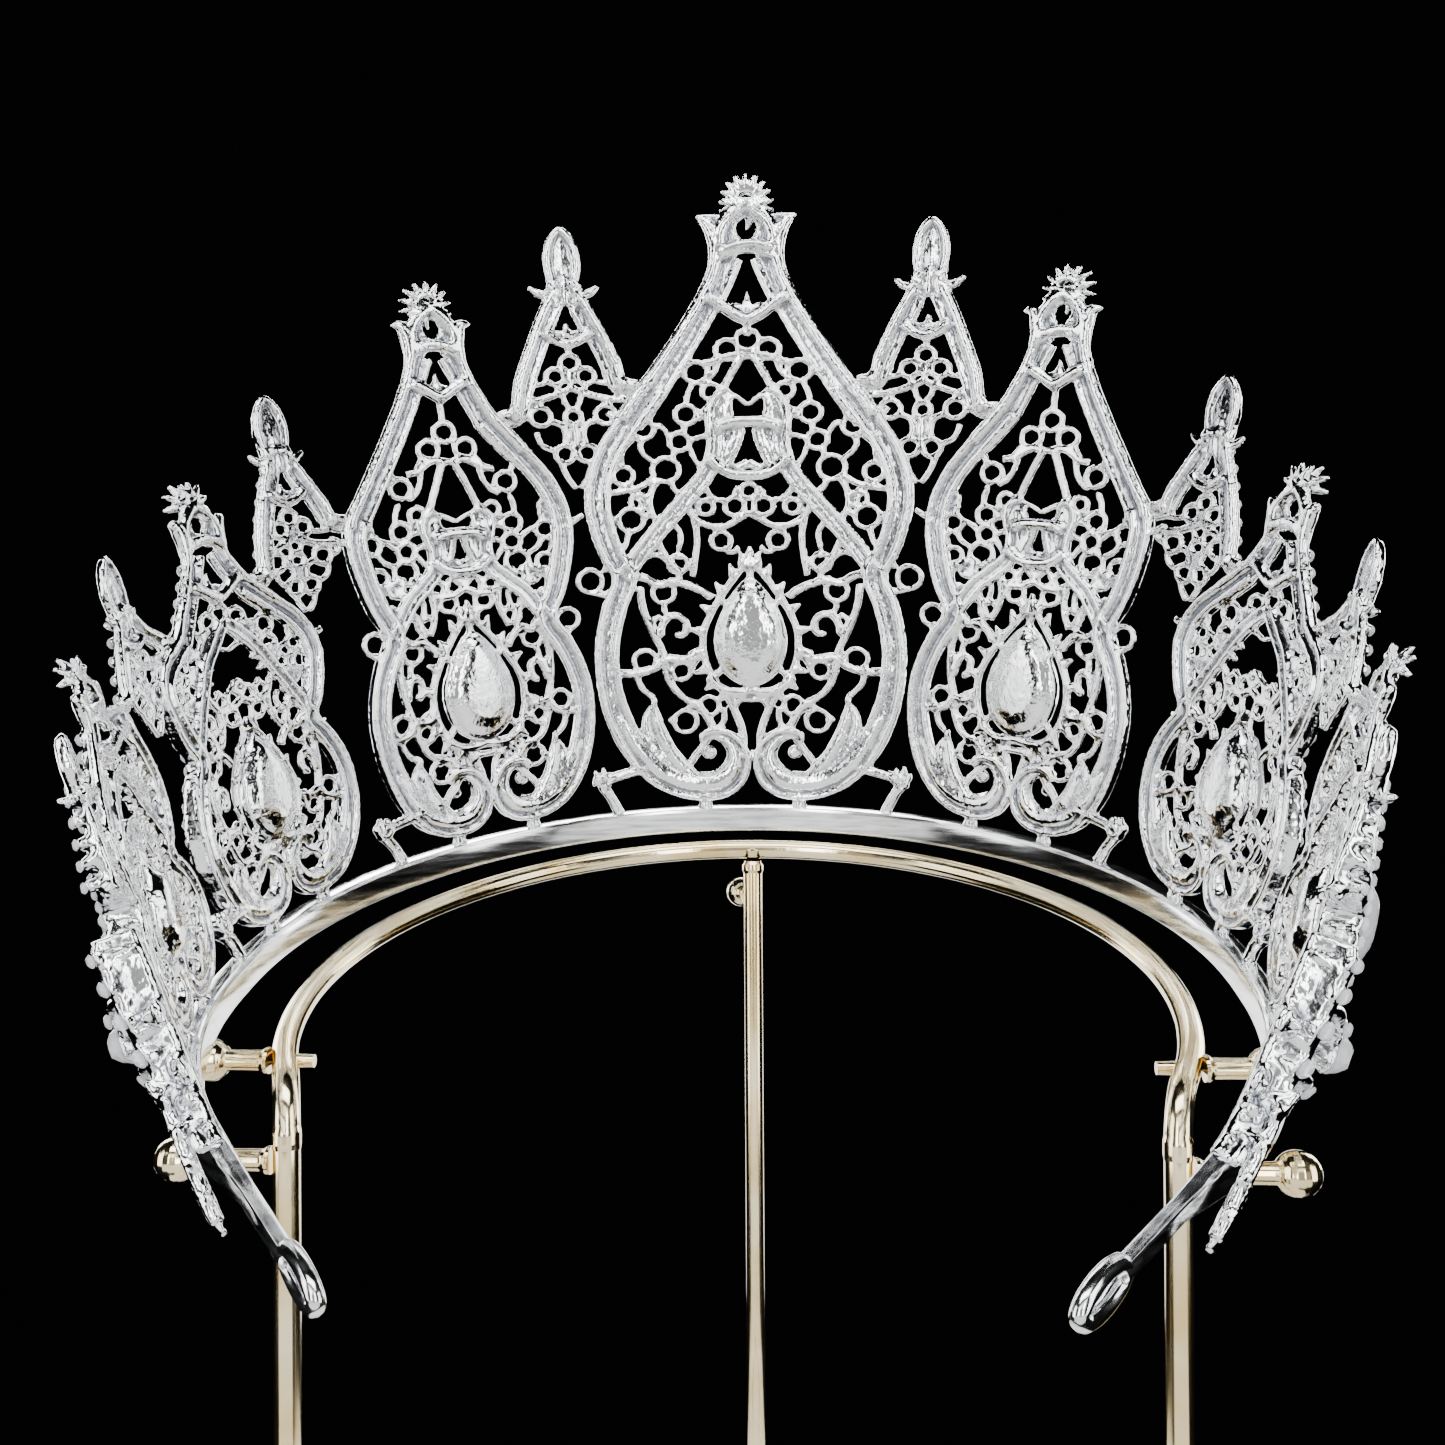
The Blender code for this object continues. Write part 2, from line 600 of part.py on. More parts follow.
def bud_shapes(j, left_foot, right_foot):
    # Gable with a bud on top, its legs, trefoil and a tongue of scrolls below
    tip = BUD_TIP[j]
    half = BUD_HALF[j]
    length = BUD_LENGTH[j]
    b = BUD_BAR[j]
    size = b / BUD_BAR[0]
    neck = tip - length
    shapes = []
    outline = [(0.0, tip), (half * 0.7, tip - length * 0.2), (half, tip - length * 0.5), (half * 0.75, neck),
               (-half * 0.75, neck), (-half, tip - length * 0.5), (-half * 0.7, tip - length * 0.2)]
    shapes.append(prism(outline, BUD_BACK, BUD_FRONT * size))
    waist = neck - 2.6 * size
    # A prong stands out from the neck towards the front
    shapes.append(prism([(-1.0, waist), (1.0, waist), (0.0, neck + 1.2)], WORK_BACK, BUD_PRONG * size))
    for side, foot in ((-1, left_foot), (1, right_foot)):
        leaf = [(side * BUD_LEAF[j], neck + 1.2 * size), (0.0, waist)]
        shapes.append(bar(leaf, [0.4, 1.3 * size]))
        fx, fh = foot
        leg = [(side * 0.5, neck + 0.4), (ease(side * half, fx, 0.4), ease(waist, fh, 0.43)), (fx, fh)]
        shapes.append(bar(leg, b))
    mid_foot = 0.5 * (left_foot[1] + right_foot[1])
    u_h = ease(waist, mid_foot, 0.42)
    ux = half * 1.35
    shapes.append(bar([(-ux, u_h + 1.6 * size), (0.0, u_h), (ux, u_h + 1.6 * size)], 0.85 * size))
    base_h = mid_foot - 2.0 * size
    shapes.append(bar([(left_foot[0] + 0.5, left_foot[1] + 0.3), (0.0, base_h),
                       (right_foot[0] - 0.5, right_foot[1] + 0.3)], 0.75))
    shapes.append(bar([(0.0, u_h), (0.0, base_h)], 0.7))
    # The tongue hangs between the shoulders of the two panels
    if TONGUE_H[j] > 0.0:
        low = TONGUE_H[j]
        shapes.append(bar([(left_foot[0] * 0.5, ease(base_h, left_foot[1], 0.5)), (0.0, low),
                           (right_foot[0] * 0.5, ease(base_h, right_foot[1], 0.5))], 0.7))
    return shapes


def end_leaf_shapes():
    # Scrolled bracket that closes the openwork down onto the arm. Its points are
    # shares of its reach along the lip and of its height
    def at(share_x, share_h, lift=0.0):
        return (END_LEAF_START + END_LEAF_REACH * share_x, SEAT_HEIGHT + lift
                + (END_LEAF_H - SEAT_HEIGHT) * share_h)

    w = END_LEAF_WIDTH / 2.0
    front = END_LEAF_FRONT
    spine = [at(0.34, 1.0), at(0.45, 0.68), at(0.58, 0.37), at(0.8, 0.12), at(1.0, 0.0, w * 0.55)]
    shapes = [bar(spine, [w * 0.65, w * 0.9, w, w * 0.8, w * 0.5], front=front)]
    foot = [at(0.58, 0.37), at(0.4, 0.26), at(0.35, 0.1), at(0.41, 0.0, w * 0.55)]
    shapes.append(bar(foot, [w * 0.8, w * 0.95, w * 0.75, w * 0.65], front=front))
    curl = [at(0.45, 0.68), at(0.24, 0.55), at(0.18, 0.36)]
    shapes.append(bar(curl, [w * 0.65, w * 0.75, w * 0.35], front=front))
    # A tongue hangs past the band's outer face
    outside = BAND_THICK - WORK_OFFSET + GAP
    tongue = [at(0.62, 0.32), at(0.86, 0.08), at(1.2, 0.0, -TONGUE_DROP)]
    shapes.append(bar(tongue, [w * 0.6, w * 0.85, w * 0.5], back=outside, front=TONGUE_FRONT))
    return shapes


def build_panels(silver):
    for k in range(4):
        sides = (1,) if k == 0 else (1, -1)
        for side in sides:
            axis = PANEL_AXIS[k]
            if k == 0:
                left = right = VALLEY[0]
            else:
                inner = VALLEY[2 * k - 1]
                outer = VALLEY[2 * k]
                left = (axis - inner[0], inner[1])
                right = (outer[0] - axis, outer[1])
            shapes = panel_shapes(k, left, right)
            shapes += flower_shapes(k, 1)
            if k == 0:
                shapes += flower_shapes(k, -1)
            name = "panel_centre" if k == 0 else "panel_%s_%d" % ("right" if side > 0 else "left", k)
            mesh = fuse(name, shapes)
            bend(mesh, axis, side)
            new_object(name, mesh, silver)


def build_buds(silver):
    for j in range(4):
        axis = BUD_AXIS[j]
        b = BUD_BAR[j]
        lv = VALLEY[2 * j]
        rv = VALLEY[2 * j + 1]
        left = (lv[0] + b * 1.4 + GAP - axis, lv[1] - 0.6)
        right = (rv[0] - b * 1.4 - GAP - axis, rv[1] - 0.6)
        for side in (1, -1):
            shapes = bud_shapes(j, left, right)
            name = "bud_%s_%d" % ("right" if side > 0 else "left", j + 1)
            mesh = fuse(name, shapes)
            bend(mesh, axis, side)
            new_object(name, mesh, silver)


def build_ends(silver):
    for side in (1, -1):
        name = "end_leaf_%s" % ("right" if side > 0 else "left")
        mesh = fuse(name, end_leaf_shapes())
        bend(mesh, 0.0, side)
        new_object(name, mesh, silver)


def build_stones(crystal):
    # Pear-cut stones held in front of the settings
    for k in range(4):
        for side in ((1,) if k == 0 else (1, -1)):
            outline = pear_outline(0.0, PEAR_H[k], PEAR_HALF_W[k] - 0.5, PEAR_HALF_H[k] - 0.5, PEAR_SIDES)
            verts, faces = stack(outline, ((CUP_FRONT + GAP, 0.94), (GIRDLE, 1.0), (TABLE, 0.58)))
            name = "stone_centre" if k == 0 else "stone_%s_%d" % ("right" if side > 0 else "left", k)
            mesh = mesh_from(verts, faces, name)
            bend(mesh, PANEL_AXIS[k], side)
            new_object(name, mesh, crystal)


def sweep(name, frames, closed=False):
    # frames: list of rings of world points, all with the same number of points
    n = len(frames[0])
    verts = [p for f in frames for p in f]
    faces = []
    count = len(frames)
    for i in range(count if closed else count - 1):
        j = (i + 1) % count
        for a in range(n):
            b = (a + 1) % n
            faces.append((n * i + a, n * i + b, n * j + b, n * j + a))
    if not closed:
        faces.append(tuple(reversed(range(n))))
        faces.append(tuple(range(n * (count - 1), n * count)))
    mesh = mesh_from(verts, faces, name)
    fix_normals(mesh)
    return mesh


def union_world(name, meshes):
    # Join world-space meshes into one body
    base = bpy.data.objects.new(name + "_a", meshes[0])
    bpy.context.scene.collection.objects.link(base)
    others = []
    for m in meshes[1:]:
        ob = bpy.data.objects.new(name + "_b", m)
        bpy.context.scene.collection.objects.link(ob)
        others.append(ob)
        mod = base.modifiers.new("Union", 'BOOLEAN')
        mod.operation = 'UNION'
        mod.solver = 'EXACT'
        mod.object = ob
    bpy.context.view_layer.update()
    graph = bpy.context.evaluated_depsgraph_get()
    joined = bpy.data.meshes.new_from_object(base.evaluated_get(graph))
    for ob in [base] + others:
        bpy.data.objects.remove(ob, do_unlink=True)
    fix_normals(joined)
    return joined


def build_band(silver):
    half = BAND_ARC_LENGTH
    stations = []
    for i in range(BAND_SEGMENTS + 1):
        stations.append(-half + 2.0 * half * i / BAND_SEGMENTS)
    arm = [half + ARM_LENGTH * f for f in (0.5 * ARM_TAPER, ARM_TAPER, 1.0)]
    stations = [-s for s in reversed(arm)] + stations + arm
    mid = 0.5 * (BAND_TOP + BAND_BOTTOM)
    frames = []
    for s in stations:
        over = min(1.0, max(0.0, abs(s) - half) / (ARM_LENGTH * ARM_TAPER))
        thick = ease(BAND_THICK, ARM_END_THICK, over)
        top = ease(BAND_TOP, mid + ARM_END_HALF_HEIGHT, over)
        low = ease(BAND_BOTTOM, mid - ARM_END_HALF_HEIGHT, over)
        section = ((0.0, low), (0.0, top), (thick, top), (thick, low))
        frames.append([on_band(s, n, w) for w, n in section])
    body = sweep("band", frames)
    parts = [body]
    for side in (1, -1):
        # Oval loop at the end of the arm, standing in the arm's plane
        start = half + ARM_LENGTH
        loop = []
        steps = 10
        for i in range(steps):
            a = 2.0 * math.pi * i / steps
            c = start + LOOP_LENGTH * 0.5 - 1.0 + (LOOP_LENGTH * 0.5 - LOOP_WIRE) * math.cos(a)
            z = mid + (LOOP_WIDTH * 0.5 - LOOP_WIRE) * math.sin(a)
            cut = []
            for dr, dw in ((-LOOP_WIRE, 0.1), (LOOP_WIRE, 0.1), (LOOP_WIRE, 1.6), (-LOOP_WIRE, 1.6)):
                cut.append(on_band(side * (c + dr * math.cos(a)), z + dr * math.sin(a), dw))
            loop.append(cut)
        parts.append(sweep("band_loop", loop, closed=True))
    new_object("band", union_world("band", parts), silver)


def rod_frames(path, radius, sides, up=None):
    # Rings of a round rod along a path of points, carried without twist
    frames = []
    n = len(path)
    normal = None
    for i in range(n):
        a = path[max(0, i - 1)]
        b = path[min(n - 1, i + 1)]
        t = (b - a).normalized()
        if normal is None:
            ref = up if up is not None else Vector((0.0, 0.0, 1.0))
            normal = (ref - t * ref.dot(t)).normalized()
        else:
            normal = (normal - t * normal.dot(t)).normalized()
        other = t.cross(normal)
        cut = []
        for k in range(sides):
            ang = 2.0 * math.pi * (k + 0.5) / sides
            cut.append((path[i] + normal * (radius * math.cos(ang)) + other * (radius * math.sin(ang))) * MM)
        frames.append(cut)
    return frames


def bow_point(angle_deg):
    # Point of the bow's middle line, measured from the front
    a = math.radians(angle_deg)
    centre = Vector((0.0, BOW_CENTRE_Y, BAND_CENTRE_Z - BOW_CENTRE_Y * math.tan(TILT)))
    centre = centre - UP * BOW_BELOW_BAND
    out = RIGHT * math.sin(a) + FRONT * math.cos(a)
    return centre + out * (BAND_RADIUS - BOW_INSET)


def build_stand(gold):
    r = ROD_D / 2.0
    # Bow and the two near posts, one bent rod
    end_deg = 90.0 + BOW_PAST_SIDE_DEG
    arc = []
    for i in range(BOW_SEGMENTS + 1):
        arc.append(bow_point(-end_deg + 2.0 * end_deg * i / BOW_SEGMENTS))
    foot_top = ROD_D + GAP

    def leg(tip, before):
        d = (tip - before).normalized()
        down = Vector((0.0, 0.0, -1.0))
        turn = d.angle(down)
        centre_dir = (down - d * d.dot(down)).normalized()
        pts = []
        for f in (0.33, 0.66, 1.0):
            a = turn * f
            pts.append(tip + d * (BEND_RADIUS * math.sin(a)) + centre_dir * (BEND_RADIUS * (1.0 - math.cos(a))))
        last = pts[-1]
        pts.append(Vector((last.x, last.y, foot_top)))
        return pts

    right_leg = leg(arc[-1], arc[-2])
    left_leg = leg(arc[0], arc[1])
    path = list(reversed(left_leg)) + arc + right_leg
    mesh = sweep("stand_bow", rod_frames(path, r, ROD_SIDES, Vector((1.0, 0.0, 0.0))))
    new_object("stand_bow", mesh, gold)
    post_xy = (right_leg[-1].x, right_leg[-1].y)
    # Front post under the bow
    top = bow_point(0.0)
    post_top = top.z - r / math.cos(TILT) - GAP - 0.15
    path = [Vector((0.0, top.y, foot_top)), Vector((0.0, top.y, post_top))]
    frames = rod_frames(path, r, ROD_SIDES, Vector((1.0, 0.0, 0.0)))
    new_object("stand_front_post", sweep("stand_front_post", frames), gold)
    # Closed ring that lies on the floor under the three posts
    ring_path = []
    y1 = post_xy[1]
    x1 = post_xy[0]
    y0 = top.y
    yc = (x1 * x1 + y1 * y1 - y0 * y0) / (2.0 * (y1 - y0))
    radius = yc - y0
    frames = []
    for i in range(FOOT_SEGMENTS):
        a = 2.0 * math.pi * i / FOOT_SEGMENTS
        out = Vector((math.sin(a), math.cos(a), 0.0))
        mid = Vector((0.0, yc, r)) + out * radius
        cut = []
        for q in range(ROD_SIDES):
            ang = 2.0 * math.pi * (q + 0.5) / ROD_SIDES
            s = r / math.cos(math.pi / ROD_SIDES)
            cut.append((mid + out * (s * math.sin(ang)) + Vector((0.0, 0.0, -s * math.cos(ang)))) * MM)
        frames.append(cut)
    new_object("stand_foot", sweep("stand_foot", frames, closed=True), gold)
    # Pegs with ball ends: two on the bow, two on the near posts, one on the front post
    for side in (1, -1):
        tag = "right" if side > 0 else "left"
        outward = RIGHT * side
        base = bow_point(side * UPPER_PEG_DEG)
        # The band rests on the ball
        tip = outward * (band_half_width(-base.y / math.cos(TILT)) + UPPER_PEG_UNDER)
        tip.y = base.y
        tip.z = base.z
        new_object("stand_peg_%s_upper" % tag, peg("peg", base, tip, r + GAP + 0.5), gold)
        post = right_leg[-2] if side > 0 else left_leg[-2]
        base = Vector((post.x, post.y, post.z - LOWER_PEG_DROP))
        new_object("stand_peg_%s_lower" % tag,
                   peg("peg", base, base + outward * LOWER_PEG_LENGTH, r + GAP), gold)
    base = Vector((0.0, top.y, top.z - FRONT_PEG_DROP))
    turn = math.radians(FRONT_PEG_TURN_DEG)
    outward = Vector((math.sin(turn), -math.cos(turn), 0.0))
    new_object("stand_peg_front", peg("peg", base, base + outward * FRONT_PEG_LENGTH, r + GAP), gold)


def peg(name, base, tip, start):
    # Rod from the stand's rod out to a ball, one turned shape
    d = (tip - base).normalized()
    length = (tip - base).length
    ref = Vector((0.0, 0.0, 1.0))
    side = (ref - d * ref.dot(d)).normalized()
    other = d.cross(side)
    pr = PEG_D / 2.0
    neck = length - BALL_R * 1.25
    profile = [(start, pr), (neck, pr), (length - BALL_R * 0.82, BALL_R * 0.57), (length - BALL_R * 0.3, BALL_R * 0.95),
               (length + BALL_R * 0.3, BALL_R * 0.95), (length + BALL_R * 0.82, BALL_R * 0.57)]
    frames = []
    for along, radius in profile:
        cut = []
        for k in range(PEG_SIDES):
            a = 2.0 * math.pi * k / PEG_SIDES
            cut.append((base + d * along + side * (radius * math.cos(a)) + other * (radius * math.sin(a))) * MM)
        frames.append(cut)
    return sweep(name, frames)


def centre_over_origin():
    # The pieces are laid out from the band's centre, then moved front to back
    # so that the middle of the whole box stands over the origin
    depths = [v.co.y for ob in bpy.data.objects for v in ob.data.vertices]
    move = Matrix.Translation((0.0, -0.5 * (min(depths) + max(depths)), 0.0))
    for ob in bpy.data.objects:
        ob.data.transform(move)


def shade(ob):
    ob.data.shade_smooth()
    ob.data.set_sharp_from_angle(angle=math.radians(38.0))


def main():
    clear_scene()
    silver = make_material("cast_silver", SILVER, 0.22, 1.0)
    gold = make_material("gold_rod", GOLD, 0.2, 1.0)
    crystal = make_material("clear_crystal", CRYSTAL, 0.03, 0.0, 1.0)
    build_band(silver)
    build_panels(silver)
    build_buds(silver)
    build_ends(silver)
    build_stones(crystal)
    build_stand(gold)
    centre_over_origin()
    for ob in bpy.data.objects:
        shade(ob)


main()
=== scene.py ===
# Tiara of cast openwork on its rod stand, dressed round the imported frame.
# The openwork is drawn flat in millimetres, cast into one skin and then bent round the band.
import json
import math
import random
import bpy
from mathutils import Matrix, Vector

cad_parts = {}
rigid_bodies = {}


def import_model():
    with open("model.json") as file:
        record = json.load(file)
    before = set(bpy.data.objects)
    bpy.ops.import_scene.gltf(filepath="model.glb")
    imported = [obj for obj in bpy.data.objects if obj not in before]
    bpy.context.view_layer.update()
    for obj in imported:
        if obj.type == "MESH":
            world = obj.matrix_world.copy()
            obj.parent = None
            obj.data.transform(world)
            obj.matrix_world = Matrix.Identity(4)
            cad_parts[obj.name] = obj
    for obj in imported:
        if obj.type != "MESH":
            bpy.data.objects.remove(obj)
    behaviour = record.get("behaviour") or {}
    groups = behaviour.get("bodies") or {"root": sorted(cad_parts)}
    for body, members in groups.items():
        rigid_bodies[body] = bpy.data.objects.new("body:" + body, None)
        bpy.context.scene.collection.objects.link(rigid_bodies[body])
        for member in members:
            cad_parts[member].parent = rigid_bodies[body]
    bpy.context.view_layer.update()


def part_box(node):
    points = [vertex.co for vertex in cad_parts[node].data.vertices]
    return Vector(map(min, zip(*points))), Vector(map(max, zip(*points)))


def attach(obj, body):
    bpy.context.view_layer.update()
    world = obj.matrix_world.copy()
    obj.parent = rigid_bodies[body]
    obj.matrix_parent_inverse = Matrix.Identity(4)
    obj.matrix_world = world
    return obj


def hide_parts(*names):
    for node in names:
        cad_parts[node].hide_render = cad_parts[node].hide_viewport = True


bl_info = {
    "name": "Cast openwork tiara",
    "version": (1, 0, 0),
    "blender": (4, 5, 0),
    "location": "3D View > Sidebar > Tiara",
    "description": "Models a cast silver tiara with crystals on a bent rod stand",
    "category": "Object",
}

import bmesh
import bpy
import numpy as np
from mathutils import Matrix, Vector

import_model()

MM = 0.001
ROOT = "root"

# Sizes repeated from the part's source, in mm, and in degrees where the name says so
GAP = 0.3
PLANE_TILT_DEG = 14.75
FLARE_DEG = 7.8
FLARE_MORE_DEG = 3.0
FLARE_REACH = 105.0
BAND_RADIUS = 70.7
BAND_THICK = 3.2
BAND_BOTTOM = -2.5
BAND_TOP = 2.1
SIDE_RUN = 4.0
BAND_ARC_LENGTH = 161.3
ARM_LENGTH = 25.5
ARM_TAPER = 0.5
ARM_END_THICK = 1.7
ARM_END_HALF_HEIGHT = 1.1
LOOP_LENGTH = 11.0
LOOP_WIDTH = 5.6
LOOP_WIRE = 0.9
WORK_OFFSET = 1.6
SEAT_HEIGHT = BAND_TOP + GAP
WORK_FRONT = 1.05
SWELL = 2.8
SWELL_GROWS = (100.0, 125.0)
SWELL_DIES = (152.0, 162.0)
SWELL_RISES = (4.0, 9.0)
SWELL_FADES = (22.0, 42.0)
ROD_D = 3.5
BOW_INSET = 6.3
BOW_BELOW_BAND = 5.75
BOW_PAST_SIDE_DEG = 24.0
BEND_RADIUS = 7.0
PEG_D = 3.2
BALL_R = 3.1
UPPER_PEG_DEG = 110.0
UPPER_PEG_UNDER = 1.6
LOWER_PEG_DROP = 3.0
LOWER_PEG_LENGTH = 15.0
FRONT_PEG_DROP = 9.6
FRONT_PEG_LENGTH = 13.5
FRONT_PEG_TURN_DEG = 13.0
PANEL_AXIS = (0.0, 49.0, 93.5, 130.5)
PANEL_TIP = (120.0, 101.5, 71.0, 53.0)
PANEL_HALF = (25.5, 18.9, 17.0, 12.6)
BULGE_H = (30.0, 24.5, 19.0, 14.0)
CROSS_H = (46.6, 40.5, 31.0, 22.5)
SHOULDER_H = (61.0, 57.0, 42.0, 30.5)
CROSS_HALF = (21.5, 13.6, 12.4, 8.6)
SHOULDER_HALF = (25.2, 17.6, 15.6, 11.2)
FRAME_HALF_WIDTH = (2.0, 1.7, 1.5, 1.25)
WAIST_HALF = (4.1, 3.3, 2.9, 2.4)
WAIST_DROP = (17.5, 15.0, 12.0, 9.5)
EAR_DROP = (7.6, 8.0, 6.6, 5.4)
EAR_OUT = (6.9, 5.6, 4.6, 3.8)
BURST_R = (5.4, 4.6, 3.8, 3.2)
BURST_FRONT = 3.2
EYE_X = (7.8, 6.4, 5.8, 4.6)
EYE_H = (11.9, 10.8, 9.6, 8.4)
CURL_R = (5.7, 4.9, 4.3, 3.5)
PEAR_H = (35.6, 29.6, 22.8, 17.6)
PEAR_HALF_W = (6.5, 6.4, 5.4, 4.2)
PEAR_HALF_H = (10.2, 9.8, 8.2, 6.2)
HALO_GAP = 2.4
CUP_FRONT = 1.4
GIRDLE = 2.2
TABLE = 3.9
FLOWER_H = 8.9
FLOWER_R = 2.3
BUD_AXIS = (28.0, 77.0, 114.0, 147.0)
BUD_TIP = (111.0, 83.0, 63.0, 47.5)
BUD_HALF = (2.9, 2.7, 2.3, 2.0)
BUD_LENGTH = (11.5, 10.0, 8.5, 7.0)
BUD_LEAF = (5.5, 4.8, 4.0, 3.4)
BUD_BAR = (1.55, 1.4, 1.2, 1.05)
BUD_PRONG = 4.2
END_LEAF_START = 146.0
END_LEAF_H = 25.5
END_LEAF_REACH = 22.0
END_LEAF_WIDTH = 3.4
TONGUE_DROP = 6.3
TONGUE_FRONT = 3.9
VALLEY = ((17.8, 82.8), (39.6, 78.0), (68.0, 62.3), (85.8, 55.3),
          (104.6, 49.5), (121.4, 44.3), (139.4, 38.3), (153.6, 31.0))

# Set for the scene: how far in front of the band's middle the bow's middle stands, in
# mm, the main rays of each burst, and the height where the work under each bud ends
BOW_FORWARD = 5.0
BURST_RAYS = (11, 9, 7, 6)
TONGUE_H = (62.5, 47.0, 36.5, 31.0)
TILT = math.radians(PLANE_TILT_DEG)
# The centre panel and its neighbours have the full pattern, the ones further out less
TALL_PANELS = 2
# A pear's outline draws in above its middle, and its widest part lies a little low
PEAR_DRAWS_IN = 0.55
PEAR_POWER = 1.6
PEAR_SAG = 0.12
# Neck of a bud, from its collar down to the waist
BUD_WAIST_DROP = 2.6
# The small stones' places in front of the openwork, and the height and rim of their cups
PANEL_STONE_FRONT = 1.2
PANEL_CUP_TOP = 1.05
BUD_STONE_FRONT = 1.15
BUD_CUP_TOP = 1.0
END_STONE_FRONT = 2.5
END_CUP_TOP = 2.25
CUP_RIM = 0.16
END_CUP_RIM = 0.3
END_LEAF_SEED = 7
# Steps along the bend at each end of the bow, along the bow and round the foot
LEG_BEND_STEPS = 6
BOW_STEPS = 36
FOOT_STEPS = 48
# Length of the upper pegs' stubs on the inner side of the bow
UPPER_PEG_STUB = 2.4
# How strongly a hollow darkens and dulls the plate, as painted shade together with the matte grey of the
# cast recesses, and the share that is grey all over
RECESS_SHADE_GAIN = 9.0
RECESS_SHADE_BASE = 0.1
# Edges of the band and of the rods that turn by more than this stay crisp
BAND_CREASE_DEG = 40.0
ROD_CREASE_DEG = 50.0

# How the pattern of the centre panel is carried to the smaller ones: heights that
# match, from the lip to the tip, and the size of small rings and wires
PATTERN_H = ((0.0, 12.0, 25.4, 45.8, 53.0, 66.0, 74.5, 81.4, 87.0, 93.5, 105.5, 112.3, 120.0),
             (0.0, 11.0, 19.8, 39.4, 45.0, 51.0, 57.0, 61.5, 70.0, 81.2, 88.3, 93.0, 101.5),
             (0.0, 9.6, 14.6, 31.0, 35.0, 40.5, 43.5, 46.0, 48.6, 53.0, 60.2, 64.4, 71.0),
             (0.0, 8.4, 11.4, 23.8, 27.0, 30.6, 33.0, 35.0, 37.0, 39.4, 44.7, 47.6, 53.0))
RING_SCALE = (1.0, 0.9, 0.8, 0.7)
WIRE_SCALE = (1.0, 0.96, 0.9, 0.82)
# Wires and rings as cast, against the sizes in the patterns
WIRE_SHARE = 0.8
RING_OPEN = 1.1
RING_WIRE = 0.44

# Stage, in metres and watts. The camera looks from behind the band, inside its ring
FLOOR_THICK = 0.006
IMAGE_WIDTH = 1445.0
FOCAL_PIXELS = 1425.0
CAMERA_X = -0.0117
CAMERA_BEHIND_BAND = 0.2054
CAMERA_HEIGHT = 0.1706
CAMERA_TURN_DEG = (90.42, 0.35, 183.63)
AIM = (0.0, 0.0, 0.18)
AIM_INSIDE = (0.0, -0.07, 0.15)
# Name, place, aim, width, height and power of each light
LIGHTS = (
    ("key_above", (0.0, 0.4, 1.0), AIM, 1.0, 0.4, 10.0),
    ("card_behind_camera", (0.0, 1.3, 0.25), AIM, 2.0, 1.1, 3.6),
    ("strip_left", (0.42, 1.15, 0.4), AIM, 0.2, 0.9, 7.0),
    ("strip_right", (-0.42, 1.15, 0.4), AIM, 0.2, 0.9, 7.0),
    ("camera_left", (0.95, 0.4, 0.3), AIM, 0.5, 1.0, 8.5),
    ("camera_right", (-0.95, 0.4, 0.3), AIM, 0.5, 1.0, 8.5),
    ("camera_high", (0.0, 1.0, 0.8), AIM, 1.2, 0.3, 3.0),
    ("front_low", (0.0, -1.0, -0.1), AIM, 1.4, 0.4, 5.0),
    ("card_below", (0.0, 0.5, -0.2), AIM_INSIDE, 1.4, 0.4, 2.6),
    ("front_left", (0.7, -0.7, 0.4), AIM, 0.3, 0.8, 7.0),
    ("front_above", (0.15, -0.8, 0.75), AIM, 0.5, 0.2, 6.0),
    ("front_right", (-0.7, -0.7, 0.4), AIM, 0.3, 0.8, 7.0),
)

# Middle of the band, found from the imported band's box
FRAME_BAND_LOW, FRAME_BAND_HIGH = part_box("band")
BAND_OUTSIDE = BAND_RADIUS + BAND_THICK
CENTRE = Vector((
    0.0,
    FRAME_BAND_LOW[1] / MM + BAND_OUTSIDE * math.cos(TILT) - BAND_BOTTOM * math.sin(TILT),
    FRAME_BAND_HIGH[2] / MM - BAND_OUTSIDE * math.sin(TILT) - BAND_TOP * math.cos(TILT)))
RIGHT = Vector((-1.0, 0.0, 0.0))
FRONT = Vector((0.0, -math.cos(TILT), math.sin(TILT)))
UP = Vector((0.0, math.sin(TILT), math.cos(TILT)))

# Wires of the right half of the centre panel, as distance from its middle line and
# height in mm, with the wire's half thickness, and rings by their middle and radius
GABLE_WIRES = (
    (((0.0, 93.0), (0.0, 90.6)), 0.62),
    (((0.0, 86.9), (2.6, 87.1), (5.4, 86.0), (7.0, 85.8)), 0.72),
    (((0.9, 86.9), (2.7, 83.6), (4.2, 80.6), (6.2, 77.9), (8.2, 75.6)), 0.78),
    (((9.3, 85.2), (10.2, 86.2), (11.6, 86.4)), 0.66),
    (((7.0, 82.8), (5.6, 83.6), (4.6, 85.8)), 0.55),
    (((5.4, 86.2), (4.3, 87.4)), 0.6),
    (((8.6, 82.5), (9.6, 80.2), (10.0, 78.2)), 0.58),
    (((4.2, 80.6), (2.4, 80.0), (0.0, 78.0)), 0.5),
)
GABLE_RINGS = ((0.0, 89.9, 1.7), (3.2, 88.2, 1.65), (8.2, 84.2, 1.7), (5.9, 80.6, 1.3))
